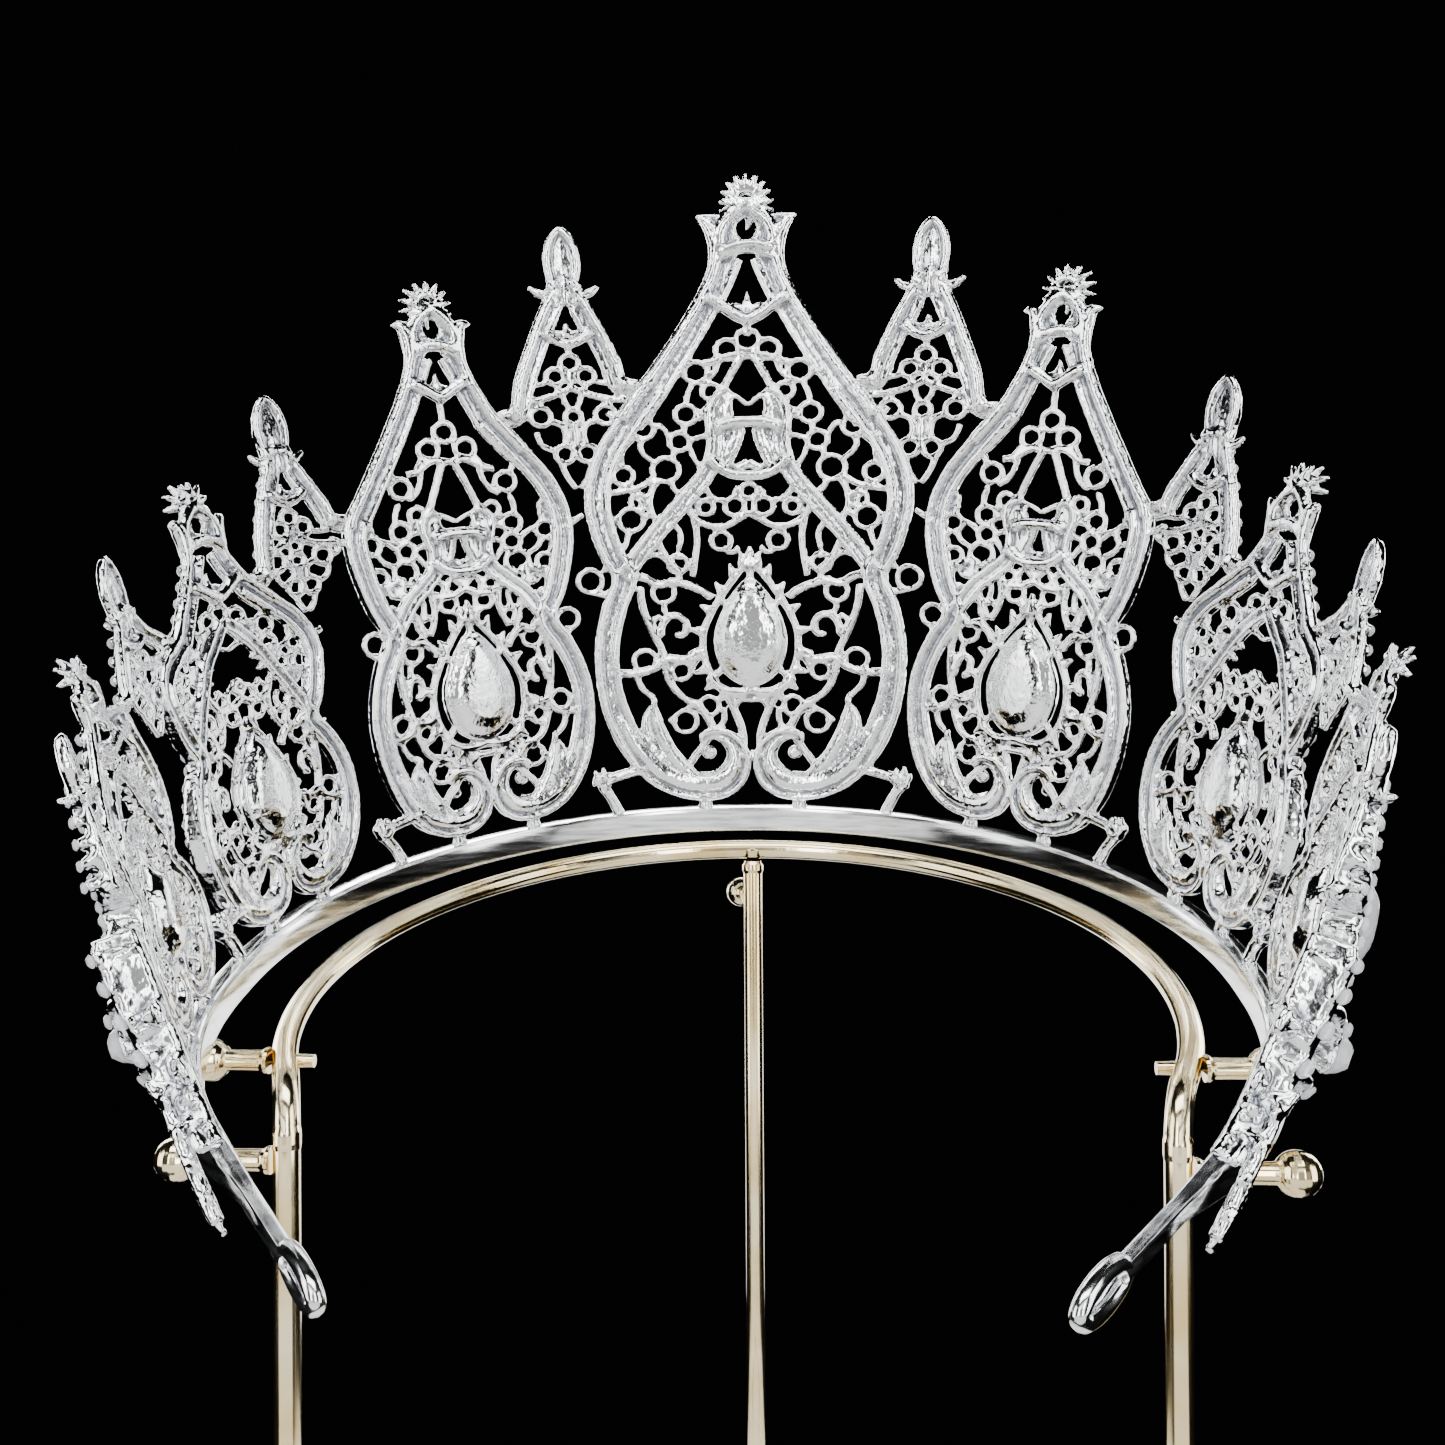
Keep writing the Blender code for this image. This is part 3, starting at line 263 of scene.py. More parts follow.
UPPER_WIRES = (
    (((10.0, 75.0), (10.6, 73.2)), 0.6),
    (((11.8, 70.0), (12.8, 68.2)), 0.6),
    (((5.4, 72.6), (8.2, 72.2), (9.8, 71.5)), 0.6),
    (((5.6, 77.4), (8.6, 76.8)), 0.6),
    (((7.6, 66.2), (9.0, 68.6), (9.4, 70.2)), 0.55),
    (((15.4, 65.2), (18.0, 63.4), (23.8, 62.4)), 0.68),
    (((13.0, 64.4), (12.0, 62.4), (9.9, 61.8)), 0.6),
    (((15.4, 67.8), (17.6, 70.6), (16.8, 72.6)), 0.58),
    (((14.8, 64.9), (16.4, 61.4), (16.2, 58.4), (14.4, 55.9)), 0.66),
    (((12.7, 72.2), (14.4, 74.6), (15.5, 74.4)), 0.58),
    (((17.6, 75.6), (19.0, 78.2), (17.0, 81.2)), 0.62),
    (((18.6, 74.0), (20.8, 74.8), (22.4, 77.4)), 0.66),
    (((18.2, 72.6), (20.2, 70.6), (21.0, 67.2)), 0.6),
    (((14.2, 78.8), (15.8, 76.0)), 0.55),
    (((21.8, 58.0), (24.2, 57.0)), 0.66),
    (((17.6, 57.6), (16.2, 58.4)), 0.6),
    (((18.2, 61.2), (17.9, 59.6), (18.8, 58.8)), 0.5),
    (((20.2, 55.3), (21.0, 52.6), (22.8, 50.6)), 0.6),
)
UPPER_RINGS = ((10.0, 76.5, 1.6), (11.2, 71.5, 1.5), (13.6, 66.4, 2.0), (17.0, 74.0, 1.6),
               (19.7, 57.4, 1.9), (20.6, 65.6, 1.5), (14.6, 80.4, 1.2), (18.2, 60.6, 1.3))
ARCH_WIRES = (
    (((0.0, 65.0), (0.0, 63.4)), 0.62),
    (((0.0, 61.0), (1.2, 60.4)), 0.55),
    (((0.0, 58.0), (1.7, 57.0), (4.2, 55.6), (7.4, 56.0), (9.4, 57.6), (10.6, 60.6)), 0.72),
    (((9.3, 57.4), (8.8, 53.6), (9.2, 50.0), (9.8, 46.2)), 0.66),
    (((4.8, 54.4), (4.6, 55.4)), 0.6),
    (((4.4, 51.4), (3.0, 50.6), (1.8, 51.8)), 0.55),
    (((3.6, 60.3), (5.6, 60.8), (7.6, 63.2)), 0.6),
    (((2.4, 61.0), (2.0, 62.6), (0.9, 62.9)), 0.5),
    (((13.0, 56.8), (11.6, 54.4), (12.0, 51.4)), 0.58),
    (((11.9, 50.3), (12.2, 49.6)), 0.55),
    (((13.4, 48.6), (15.6, 50.6), (17.6, 50.4)), 0.58),
    (((15.6, 53.6), (14.2, 50.2), (12.0, 47.4)), 0.7),
)
ARCH_RINGS = ((0.0, 62.1, 1.25), (2.4, 59.3, 1.5), (4.8, 52.9, 1.5), (12.2, 48.8, 1.5), (7.2, 59.2, 1.2))
FIELD_WIRES = (
    (((24.8, 28.8), (20.0, 28.6), (17.0, 29.4), (15.2, 30.9), (11.4, 30.6), (8.6, 31.6)), 0.95),
    (((18.9, 44.8), (18.5, 40.6), (17.0, 36.0), (15.2, 31.2), (14.8, 27.4), (12.6, 23.8), (9.8, 22.0)), 0.8),
    (((9.8, 22.0), (8.3, 20.0), (7.0, 17.4)), 0.9),
    (((20.8, 46.9), (17.9, 46.4), (15.6, 45.0), (13.4, 45.5), (11.4, 45.0), (8.0, 43.4), (6.6, 42.2)), 0.9),
    (((4.6, 24.0), (2.9, 20.2), (1.7, 16.6), (1.5, 12.4)), 0.85),
    (((12.2, 47.2), (12.0, 45.6)), 0.6),
    (((16.2, 35.8), (17.0, 38.0), (15.6, 39.2)), 0.6),
    (((14.9, 41.8), (14.6, 39.6), (13.4, 39.2)), 0.6),
    (((20.4, 28.4), (19.6, 25.8), (17.6, 23.8)), 0.66),
    (((10.6, 28.9), (9.4, 30.6)), 0.6),
    (((13.9, 27.6), (12.6, 26.8)), 0.55),
    (((10.6, 21.8), (12.4, 20.8)), 0.6),
    (((13.6, 18.6), (15.0, 19.4)), 0.66),
    (((7.0, 17.2), (8.6, 14.4), (10.4, 12.0), (11.6, 10.4)), 0.85),
    (((5.0, 21.2), (5.2, 18.2), (6.6, 17.2)), 0.62),
    (((6.4, 17.4), (4.6, 16.6), (2.4, 15.0)), 0.66),
    (((23.6, 44.4), (25.4, 43.8), (27.2, 44.2)), 0.62),
    (((22.4, 48.6), (25.0, 48.4)), 0.62),
)
FIELD_RINGS = ((14.9, 43.5, 1.7), (18.7, 30.8, 1.8), (12.4, 28.5, 1.5), (12.0, 18.8, 1.9), (7.6, 21.6, 1.6),
               (27.3, 46.4, 1.9))
# Open hook beside the halo, round (13.2, 37)
HOOK = ((15.7, 35.2), (15.3, 37.4), (13.8, 39.0), (11.9, 38.6), (11.1, 36.9), (11.9, 35.4), (13.2, 35.4))
LEAF_BLADES = (
    (((10.6, 8.0), (13.6, 11.0), (15.8, 15.0), (17.2, 19.6), (17.6, 22.6)), (1.1, 1.5, 1.35, 1.0, 0.5)),
    (((12.6, 8.4), (16.2, 11.8), (18.6, 15.8), (19.2, 19.4), (18.2, 22.0)), (0.8, 1.2, 1.1, 0.8, 0.4)),
)
# Wires of the right half of the first bud gable, about its own middle line
BUD_WIRES = (
    (((0.0, 89.2), (0.0, 87.4)), 0.6),
    (((0.0, 85.0), (0.0, 82.2)), 0.55),
    (((0.0, 81.8), (2.4, 80.8), (5.2, 79.9), (9.0, 79.4)), 0.72),
    (((3.4, 83.2), (5.0, 82.6), (7.4, 82.8)), 0.55),
    (((2.4, 82.6), (2.0, 81.2)), 0.55),
    (((1.6, 81.0), (1.0, 79.0), (0.0, 77.8)), 0.55),
    (((5.4, 78.4), (5.2, 79.6)), 0.55),
    (((3.9, 76.0), (2.0, 75.2), (1.4, 73.4), (1.8, 71.4)), 0.62),
    (((6.8, 76.6), (8.4, 77.4), (9.0, 79.0)), 0.58),
    (((2.6, 68.8), (1.8, 66.0), (0.4, 63.6)), 0.6),
    (((2.9, 70.6), (5.2, 71.6), (6.2, 74.2)), 0.56),
    (((0.0, 75.4), (0.0, 71.6), (0.6, 69.2)), 0.58),
)
BUD_RINGS = ((0.0, 86.2, 1.3), (2.4, 83.9, 1.3), (0.0, 76.7, 1.2), (5.2, 76.9, 1.5), (1.8, 70.0, 1.4))
BUD_PATTERN_H = (62.5, 79.8, 89.4, 99.5, 111.0)


def colour(value):
    # Linear colour of an sRGB hex value
    parts = [int(value[i:i + 2], 16) / 255.0 for i in (1, 3, 5)]
    return tuple(p / 12.92 if p <= 0.04045 else ((p + 0.055) / 1.055) ** 2.4 for p in parts)


class TiaraCasting(bpy.types.PropertyGroup):
    voxel: bpy.props.FloatProperty(
        name="Casting fineness", description="Grain of the cast skin in mm", default=0.3, min=0.2, max=1.0)
    swell: bpy.props.FloatProperty(
        name="Wire swell", description="Added to every wire's half thickness, in mm", default=0.04)
    unevenness: bpy.props.FloatProperty(
        name="Unevenness", description="Depth of the dents of the cast skin, in mm", default=0.07)
    keep: bpy.props.FloatProperty(
        name="Faces kept", description="Share of the skin's faces that is kept", default=0.52,
        subtype='FACTOR')


class TiaraColours(bpy.types.PropertyGroup):
    silver_light: bpy.props.FloatVectorProperty(
        name="Silver, bright", description="Bright silver plate", default=colour("#FBFCFD"),
        subtype='COLOR')
    # Dark end of the plate's tones: painted shade in the hollows of the cast plate together with their matte
    # grey, and the dark of the band's polishing marks
    silver_dark: bpy.props.FloatVectorProperty(
        name="Silver, hollows", description="Silver plate in hollows", default=colour("#7F838A"),
        subtype='COLOR')
    gold_light: bpy.props.FloatVectorProperty(
        name="Rod, bright", description="Pale gold rod", default=colour("#F3E4BC"), subtype='COLOR')
    gold_dark: bpy.props.FloatVectorProperty(
        name="Rod, warm", description="Warmer gold where the plate is thick", default=colour("#DDC387"),
        subtype='COLOR')
    crystal: bpy.props.FloatVectorProperty(
        name="Crystal", description="Body colour of the clear crystal", default=colour("#FAFCFF"),
        subtype='COLOR')


class TiaraStones(bpy.types.PropertyGroup):
    pitch: bpy.props.FloatProperty(
        name="Stone spacing", description="Room left between small stones, in mm", default=0.55)
    share: bpy.props.FloatProperty(
        name="Stone size", description="Half size of a small stone as a share of its bar's half width",
        default=0.62, subtype='FACTOR')


class TiaraStage(bpy.types.PropertyGroup):
    floor_radius: bpy.props.FloatProperty(
        name="Floor radius", description="Half width of the pale floor", default=0.125, unit='LENGTH')
    light: bpy.props.FloatProperty(name="Light", description="Strength of all lights", default=1.0)


def ramp(values, limits):
    # Rises from 0 to 1 between two limits
    return np.clip((values - limits[0]) / (limits[1] - limits[0]), 0.0, 1.0)


def curves(points, side, on_openwork):
    # Carry flat points (distance along the lip, height, depth) in mm round the band,
    # onto the flared openwork or onto the band itself, in metres
    s = side * points[:, 0]
    reach = np.abs(s)
    straight = np.clip(reach - BAND_RADIUS * math.pi / 2.0, 0.0, SIDE_RUN)
    arm = np.maximum(0.0, reach - BAND_ARC_LENGTH)
    theta = np.sign(s) * (reach - straight - arm) / BAND_RADIUS
    sin = np.sin(theta)[:, None]
    cos = np.cos(theta)[:, None]
    right = np.array(RIGHT)
    front = np.array(FRONT)
    up = np.array(UP)
    out = right * sin + front * cos
    along = right * cos - front * sin
    base = np.array(CENTRE) + out * BAND_RADIUS - front * straight[:, None]
    base = base + along * (np.sign(s) * arm)[:, None]
    height = points[:, 1]
    depth = points[:, 2]
    if not on_openwork:
        return (base + out * depth[:, None] + up * height[:, None]) * MM
    grown = ramp(reach, SWELL_GROWS) * (1.0 - ramp(reach, SWELL_DIES))
    swelling = SWELL * grown * ramp(height, SWELL_RISES) * (1.0 - ramp(height, SWELL_FADES))
    depth = depth + swelling * np.clip(depth / WORK_FRONT, 0.0, 1.0)
    flare = np.radians(FLARE_DEG + FLARE_MORE_DEG * np.minimum(1.0, reach / FLARE_REACH) ** 2)[:, None]
    slope = up * np.cos(flare) + out * np.sin(flare)
    face = out * np.cos(flare) - up * np.sin(flare)
    return (base + out * WORK_OFFSET + slope * height[:, None] + face * depth[:, None]) * MM


def mesh_points(mesh):
    # All vertices of a mesh as rows of an array
    co = np.empty(len(mesh.vertices) * 3, dtype=np.float64)
    mesh.vertices.foreach_get("co", co)
    return co.reshape(-1, 3)


def set_mesh_points(mesh, points):
    mesh.vertices.foreach_set("co", points.astype(np.float32).ravel())
    mesh.update()


def bend(piece, axis, side, on_openwork=True):
    # Wraps a flat piece, drawn about its own middle line, round one side of the band
    points = mesh_points(piece.data)
    points[:, 0] += axis
    set_mesh_points(piece.data, curves(points, side, on_openwork))
    if side > 0:
        # Distance along the lip runs to the wearer's right, which turns the mesh inside out
        piece.data.flip_normals()


def ease(a, b, f, power=1.0):
    # From a to b as f goes from 0 to 1
    return a + (b - a) * f ** power


def new_object(name, data):
    # An object that holds the data, linked into the scene
    piece = bpy.data.objects.new(name, data)
    bpy.context.scene.collection.objects.link(piece)
    return piece


def deselect():
    for piece in bpy.context.selected_objects:
        piece.select_set(False)


def choose(*pieces):
    # Selects the pieces and nothing else, with the first one active
    deselect()
    for piece in pieces:
        piece.select_set(True)
    bpy.context.view_layer.objects.active = pieces[0]


def apply_modifier(piece, kind, **settings):
    choose(piece)
    mod = piece.modifiers.new(kind.title(), kind)
    for name, value in settings.items():
        setattr(mod, name, value)
    bpy.ops.object.modifier_apply(modifier=mod.name)


def joined(name, pieces):
    choose(*pieces)
    if len(pieces) > 1:
        bpy.ops.object.join()
    piece = bpy.context.view_layer.objects.active
    piece.name = name
    piece.data.name = name
    return piece


def tube_object(name, runs, resolution=4, sides=2):
    # Round wires, one for each run of points, half thicknesses, whether it closes on
    # itself and whether it has corners
    deselect()
    bpy.ops.object.add(type='CURVE')
    piece = bpy.context.object
    piece.name = name
    line = piece.data
    line.dimensions = '3D'
    line.bevel_depth = 1.0
    line.bevel_resolution = sides
    line.resolution_u = resolution
    line.use_fill_caps = True
    for points, radii, closed, sharp in runs:
        spline = line.splines.new('BEZIER')
        spline.bezier_points.add(len(points) - 1)
        spline.use_cyclic_u = closed
        for i, point in enumerate(points):
            knot = spline.bezier_points[i]
            knot.co = point
            knot.radius = radii[i]
            knot.handle_left_type = 'VECTOR' if sharp else 'AUTO'
            knot.handle_right_type = knot.handle_left_type
    choose(piece)
    bpy.ops.object.convert(target='MESH')
    piece = bpy.context.object
    piece.data.name = name
    return piece


class Pattern:
    """Wires and bars of one cast piece, laid flat in mm, with the depth each lies at"""

    def __init__(self, swell):
        self.swell = swell
        self.layers = {}
        self.solids = []

    def swelled(self, points, radius):
        # Half thickness at each point, from one value for all or one for each
        if not hasattr(radius, "__len__"):
            radius = [radius] * len(points)
        return [r + self.swell for r in radius]

    def run(self, points, radius, lift=0.0, flat=1.0, closed=False, sharp=False):
        # flat squeezes the wire's thickness through the openwork
        spread = [(x, h, 0.0) for x, h in points]
        layer = self.layers.setdefault((round(lift, 2), round(flat, 2)), [])
        layer.append((spread, self.swelled(points, radius), closed, sharp))

    def deep(self, points, radius):
        # A run whose points carry their own depth
        layer = self.layers.setdefault((0.0, 1.0), [])
        layer.append((list(points), self.swelled(points, radius), False, False))

    def ring(self, x, h, radius, wire, lift=0.0):
        points = []
        for i in range(6):
            a = 2.0 * math.pi * i / 6
            points.append((x + radius * math.cos(a), h + radius * math.sin(a)))
        self.run(points, wire, lift, closed=True)

    def blob(self, x, h, radius, lift=0.0, flat=1.0):
        self.run([(x - radius * 0.35, h), (x, h), (x + radius * 0.35, h)],
                 [radius * 0.72, radius, radius * 0.72], lift, flat)

    def objects(self):
        made = []
        for (lift, flat), runs in self.layers.items():
            piece = tube_object("wires", runs)
            points = mesh_points(piece.data)
            points[:, 2] = points[:, 2] * flat + lift
            set_mesh_points(piece.data, points)
            made.append(piece)
        return made + self.solids


def mark_recess_shade_and_matte(piece):
    # Share by which each point lies in a hollow, for the painted shade and the matte look of the cast
    # recesses
    mesh = piece.data
    count = len(mesh.vertices)
    co = mesh_points(mesh)
    normal = np.empty(count * 3, dtype=np.float64)
    mesh.vertices.foreach_get("normal", normal)
    normal = normal.reshape(-1, 3)
    ends = np.empty(len(mesh.edges) * 2, dtype=np.int32)
    mesh.edges.foreach_get("vertices", ends)
    first = ends[0::2]
    second = ends[1::2]
    degree = np.bincount(first, minlength=count) + np.bincount(second, minlength=count)
    degree = np.maximum(degree, 1)

    def neighbours(values):
        total = np.bincount(first, weights=values[second], minlength=count)
        total += np.bincount(second, weights=values[first], minlength=count)
        return total / degree

    mean = np.stack([neighbours(co[:, i]) for i in range(3)], axis=1)
    length = np.linalg.norm(co[first] - co[second], axis=1)
    reach = np.bincount(first, weights=length, minlength=count)
    reach = (reach + np.bincount(second, weights=length, minlength=count)) / degree
    hollow = ((mean - co) * normal).sum(axis=1) / np.maximum(reach, 1e-9)
    for _ in range(3):
        hollow = 0.5 * hollow + 0.5 * neighbours(hollow)
    hollow = np.clip(hollow * RECESS_SHADE_GAIN + RECESS_SHADE_BASE, 0.0, 1.0)
    layer = mesh.attributes.new("hollow", 'FLOAT', 'POINT')
    layer.data.foreach_set("value", hollow.astype(np.float32))


def cast(name, pattern):
    # One skin over all wires and solids, softened and dented as a casting is
    casting = bpy.context.scene.tiara_casting
    piece = joined(name, pattern.objects())
    apply_modifier(piece, 'REMESH', mode='VOXEL', voxel_size=casting.voxel, use_smooth_shade=True)
    apply_modifier(piece, 'SMOOTH', factor=0.5, iterations=2)
    grain = bpy.data.textures.new(name + "_dents", 'CLOUDS')
    grain.noise_scale = 1.5
    grain.noise_depth = 2
    apply_modifier(piece, 'DISPLACE', texture=grain, strength=casting.unevenness * 2.0, mid_level=0.5,
                   texture_coords='LOCAL')
    apply_modifier(piece, 'DECIMATE', ratio=casting.keep)
    bpy.data.textures.remove(grain)
    return piece


def finish_piece(piece, material, slot, *nodes):
    piece.data.materials.clear()
    piece.data.materials.append(bpy.data.materials[material])
    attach(piece, ROOT)
    if nodes:
        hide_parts(*nodes)


def place_cast(flat_piece, name, axis, side, node):
    # A bent copy of the flat casting for one side of the tiara
    piece = new_object(name, flat_piece.data.copy())
    piece.data.name = name
    bend(piece, axis, side)
    piece.data.shade_smooth()
    mark_recess_shade_and_matte(piece)
    finish_piece(piece, "cast_silver_plate", "cast_silver", node)


def drop(piece):
    bpy.data.objects.remove(piece, do_unlink=True)


# Lines of a panel

def lower_curve_point(k, angle_deg):
    # A point of a panel's side below its widest place, by the angle it has turned through
    low_x = EYE_X[k] + 1.4
    low_h = EYE_H[k] - CURL_R[k]
    t = math.radians(angle_deg)
    return (low_x + (PANEL_HALF[k] - low_x) * math.cos(t),
            BULGE_H[k] - (BULGE_H[k] - low_h) * math.sin(t))


def frame_line(k, valley):
    # Middle line and half width of a panel's side from the waist to its foot scroll
    waist_h = PANEL_TIP[k] - WAIST_DROP[k]
    hw = FRAME_HALF_WIDTH[k]
    vx = valley[0] - hw * 1.15 - GAP
    vh = valley[1] - 1.4
    points = []
    widths = []
    for f in (0.0, 0.2, 0.45, 0.7, 0.9):
        points.append((ease(WAIST_HALF[k], vx, f, 1.25), ease(waist_h, vh, f)))
        widths.append(hw * ease(0.8, 0.95, f))
    for f in (0.0, 0.3, 0.65):
        points.append((vx + (SHOULDER_HALF[k] - vx) * math.sin(f * math.pi / 2) ** 1.1,
                       ease(vh, SHOULDER_H[k], f)))
        widths.append(hw)
    for f in (0.0, 0.35, 0.7):
        points.append((ease(SHOULDER_HALF[k], CROSS_HALF[k], f, 1.8), ease(SHOULDER_H[k], CROSS_H[k], f)))
        widths.append(hw)
    for f in (0.0, 0.3, 0.65):
        points.append((ease(CROSS_HALF[k], PANEL_HALF[k], math.sin(f * math.pi / 2)),
                       ease(CROSS_H[k], BULGE_H[k], f)))
        widths.append(hw)
    for angle in (0, 25, 48, 68):
        points.append(lower_curve_point(k, angle))
        widths.append(hw * (1.0 + 0.3 * angle / 60.0))
    return points, widths


def curl_line(k):
    # The foot scroll's curl round its eye
    points = []
    widths = []
    for a, r, w in ((-90, 1.0, 1.4), (-120, 0.98, 1.45), (-150, 0.94, 1.35), (-180, 0.9, 1.1),
                    (-210, 0.85, 0.9), (-240, 0.8, 0.72), (-270, 0.74, 0.55), (-292, 0.68, 0.4)):
        t = math.radians(a)
        points.append((EYE_X[k] + CURL_R[k] * r * math.cos(t), EYE_H[k] + CURL_R[k] * r * math.sin(t)))
        widths.append(FRAME_HALF_WIDTH[k] * w)
    return points, widths


def beside(points, distances):
    # The line a given distance to the left of a line of points
    moved = []
    last = len(points) - 1
    for i, (x, h) in enumerate(points):
        a = points[max(0, i - 1)]
        b = points[min(last, i + 1)]
        dx = b[0] - a[0]
        dh = b[1] - a[1]
        size = math.hypot(dx, dh)
        moved.append((x - dh / size * distances[i], h + dx / size * distances[i]))
    return moved


def widening(h):
    # How much wider the flared openwork is at a height than at the lip
    return 1.0 + (WORK_OFFSET + h * math.sin(math.radians(FLARE_DEG))) / BAND_RADIUS


def pear_point(turn, half_w, half_h):
    # A point of a pear's outline, by its turn from the lowest point
    x = half_w * math.sin(turn)
    y = -half_h * math.cos(turn)
    if y > 0.0:
        x *= 1.0 - PEAR_DRAWS_IN * (y / half_h) ** PEAR_POWER
    return x, y - PEAR_SAG * half_h * (1.0 - (y / half_h) ** 2)


def pear_outline(h, half_w, half_h, sides):
    points = []
    for i in range(sides):
        x, y = pear_point(2.0 * math.pi * i / sides, half_w, half_h)
        points.append((x / widening(h), h + y))
    return points


def halo_half(k, h):
    # Half width of the halo round a panel's pear at height h, none above and below it
    half_h = PEAR_HALF_H[k] + HALO_GAP
    y = (h - PEAR_H[k]) / half_h
    if abs(y) >= 1.0:
        return 0.0
    half = (PEAR_HALF_W[k] + HALO_GAP) * math.sqrt(1.0 - y * y)
    if y > 0.0:
        half *= 1.0 - PEAR_DRAWS_IN * y ** PEAR_POWER
    return half


def rail(points):
    # Half width of a panel's side at any height, from its middle line
    ordered = sorted(points, key=lambda p: p[1])
    heights = [p[1] for p in ordered]
    widths = [p[0] for p in ordered]
    return lambda h: float(np.interp(h, heights, widths))


class Carry:
    """Carries points of the centre panel's pattern to one side of panel k"""

    def __init__(self, k, line):
        self.k = k
        centre_line, _ = frame_line(0, VALLEY[0])
        self.from_rail = rail(centre_line)
        self.to_rail = rail(line)

    def point(self, x, h):
        if self.k == 0:
            return x, h
        to_h = float(np.interp(h, PATTERN_H[0], PATTERN_H[self.k]))
        a0 = self.from_rail(h)
        a1 = self.to_rail(to_h)
        b0 = halo_half(0, h)
        b1 = halo_half(self.k, to_h)
        if b0 <= 0.0 or b1 <= 0.0 or a1 - b1 < 1.0 or a0 - b0 < 1.0:
            return x * a1 / a0, to_h
        if x < b0:
            return x * b1 / b0, to_h
        return b1 + (x - b0) * (a1 - b1) / (a0 - b0), to_h

    def points(self, line):
        return [self.point(x, h) for x, h in line]


def times(size, *shares):
    return [share * size for share in shares]


def flipped(points, side):
    # The same line on the right (1) or the left (-1) of the middle
    return [(side * x, h) for x, h in points]


def draw_wires(pattern, carry, wires, rings, side, k, lift=0.0):
    size = WIRE_SCALE[k]
    for line, radius in wires:
        pattern.run(flipped(carry.points(line), side), radius * WIRE_SHARE * size, lift)
    for x, h, radius in rings:
        if x == 0.0 and side < 0:
            continue
        cx, ch = carry.point(x, h)
        pattern.ring(side * cx, ch, radius * RING_OPEN * RING_SCALE[k], RING_WIRE * size, lift)


def draw_frame_bar(pattern, k, line, widths, side):
    # Side bar of a panel. Above the valley it is a polished round bar that starts as the
    # horn of the ear, beside a flat strip with a beaded brink. Below it is a thin plate
    # between two raised edges
    size = WIRE_SCALE[k]
    gable = 6
    upper = line[:gable + 1]
    upper_w = widths[:gable + 1]
    outer = beside(upper, [w * 0.62 for w in upper_w])
    tip = (EAR_OUT[k] + 0.6 * size, PANEL_TIP[k] - EAR_DROP[k])
    horn = [tip] + finial_line(k, (5.9, 9.3), (4.95, 11.6), (4.7, 14.4))
    radii = times(size, 0.25, 0.95, 1.15, 1.1) + [w * 0.6 for w in upper_w]
    pattern.run(flipped(horn + outer, side), radii, -0.3)
    inner = beside(upper, [-w * 0.5 for w in upper_w])
    pattern.run(flipped(inner, side), [w * 0.9 for w in upper_w], 0.1, 0.36)
    brink = beside(upper, [-w * 1.15 for w in upper_w])
    pattern.run(flipped(brink, side), 0.4 * size, -0.4)
    lower = line[gable - 1:]
    lower_w = widths[gable - 1:]
    pattern.run(flipped(lower, side), lower_w, 0.15, 0.32)
    for share in (-1.0, 1.0):
        edge = beside(lower, [share * (w - 0.45) for w in lower_w])
        pattern.run(flipped(edge, side), 0.6 * size, -0.5)
        pattern.run(flipped(edge, side), 0.5 * size, 0.55)


def draw_scroll(pattern, k, line, widths, side):
    # Foot scroll in one sweep from the side bar round its eye: a bright outer rim with
    # a thick crescent inside it
    size = WIRE_SCALE[k]
    curl, curl_widths = curl_line(k)
    points = line[-3:] + curl
    spans = widths[-3:] + curl_widths
    pattern.run(flipped(points, side), spans, 0.15, 0.34)
    rim = beside(points, [w - 0.5 * size for w in spans])
    pattern.run(flipped(rim, side), 0.56 * size, -0.55)
    pattern.run(flipped(rim, side), 0.5 * size, 0.5)
    crescent = beside(points, [-0.5 * size] * len(points))
    radii = [max(0.4, (w - 0.85 * size) * 0.85) for w in spans]
    radii[0] = 0.4
    pattern.run(flipped(crescent, side), radii, -0.45, 0.7)
    end = points[-1]
    pattern.blob(side * end[0], end[1], 0.95 * size, -0.3)


def finial_point(k, x, fall):
    # A point of the centre panel's finial, by its distance from the middle and its fall
    # below the tip, fitted to the finial of panel k
    return (x * WAIST_HALF[k] / WAIST_HALF[0], PANEL_TIP[k] - fall * WAIST_DROP[k] / WAIST_DROP[0])


def finial_line(k, *places):
    return [finial_point(k, x, fall) for x, fall in places]


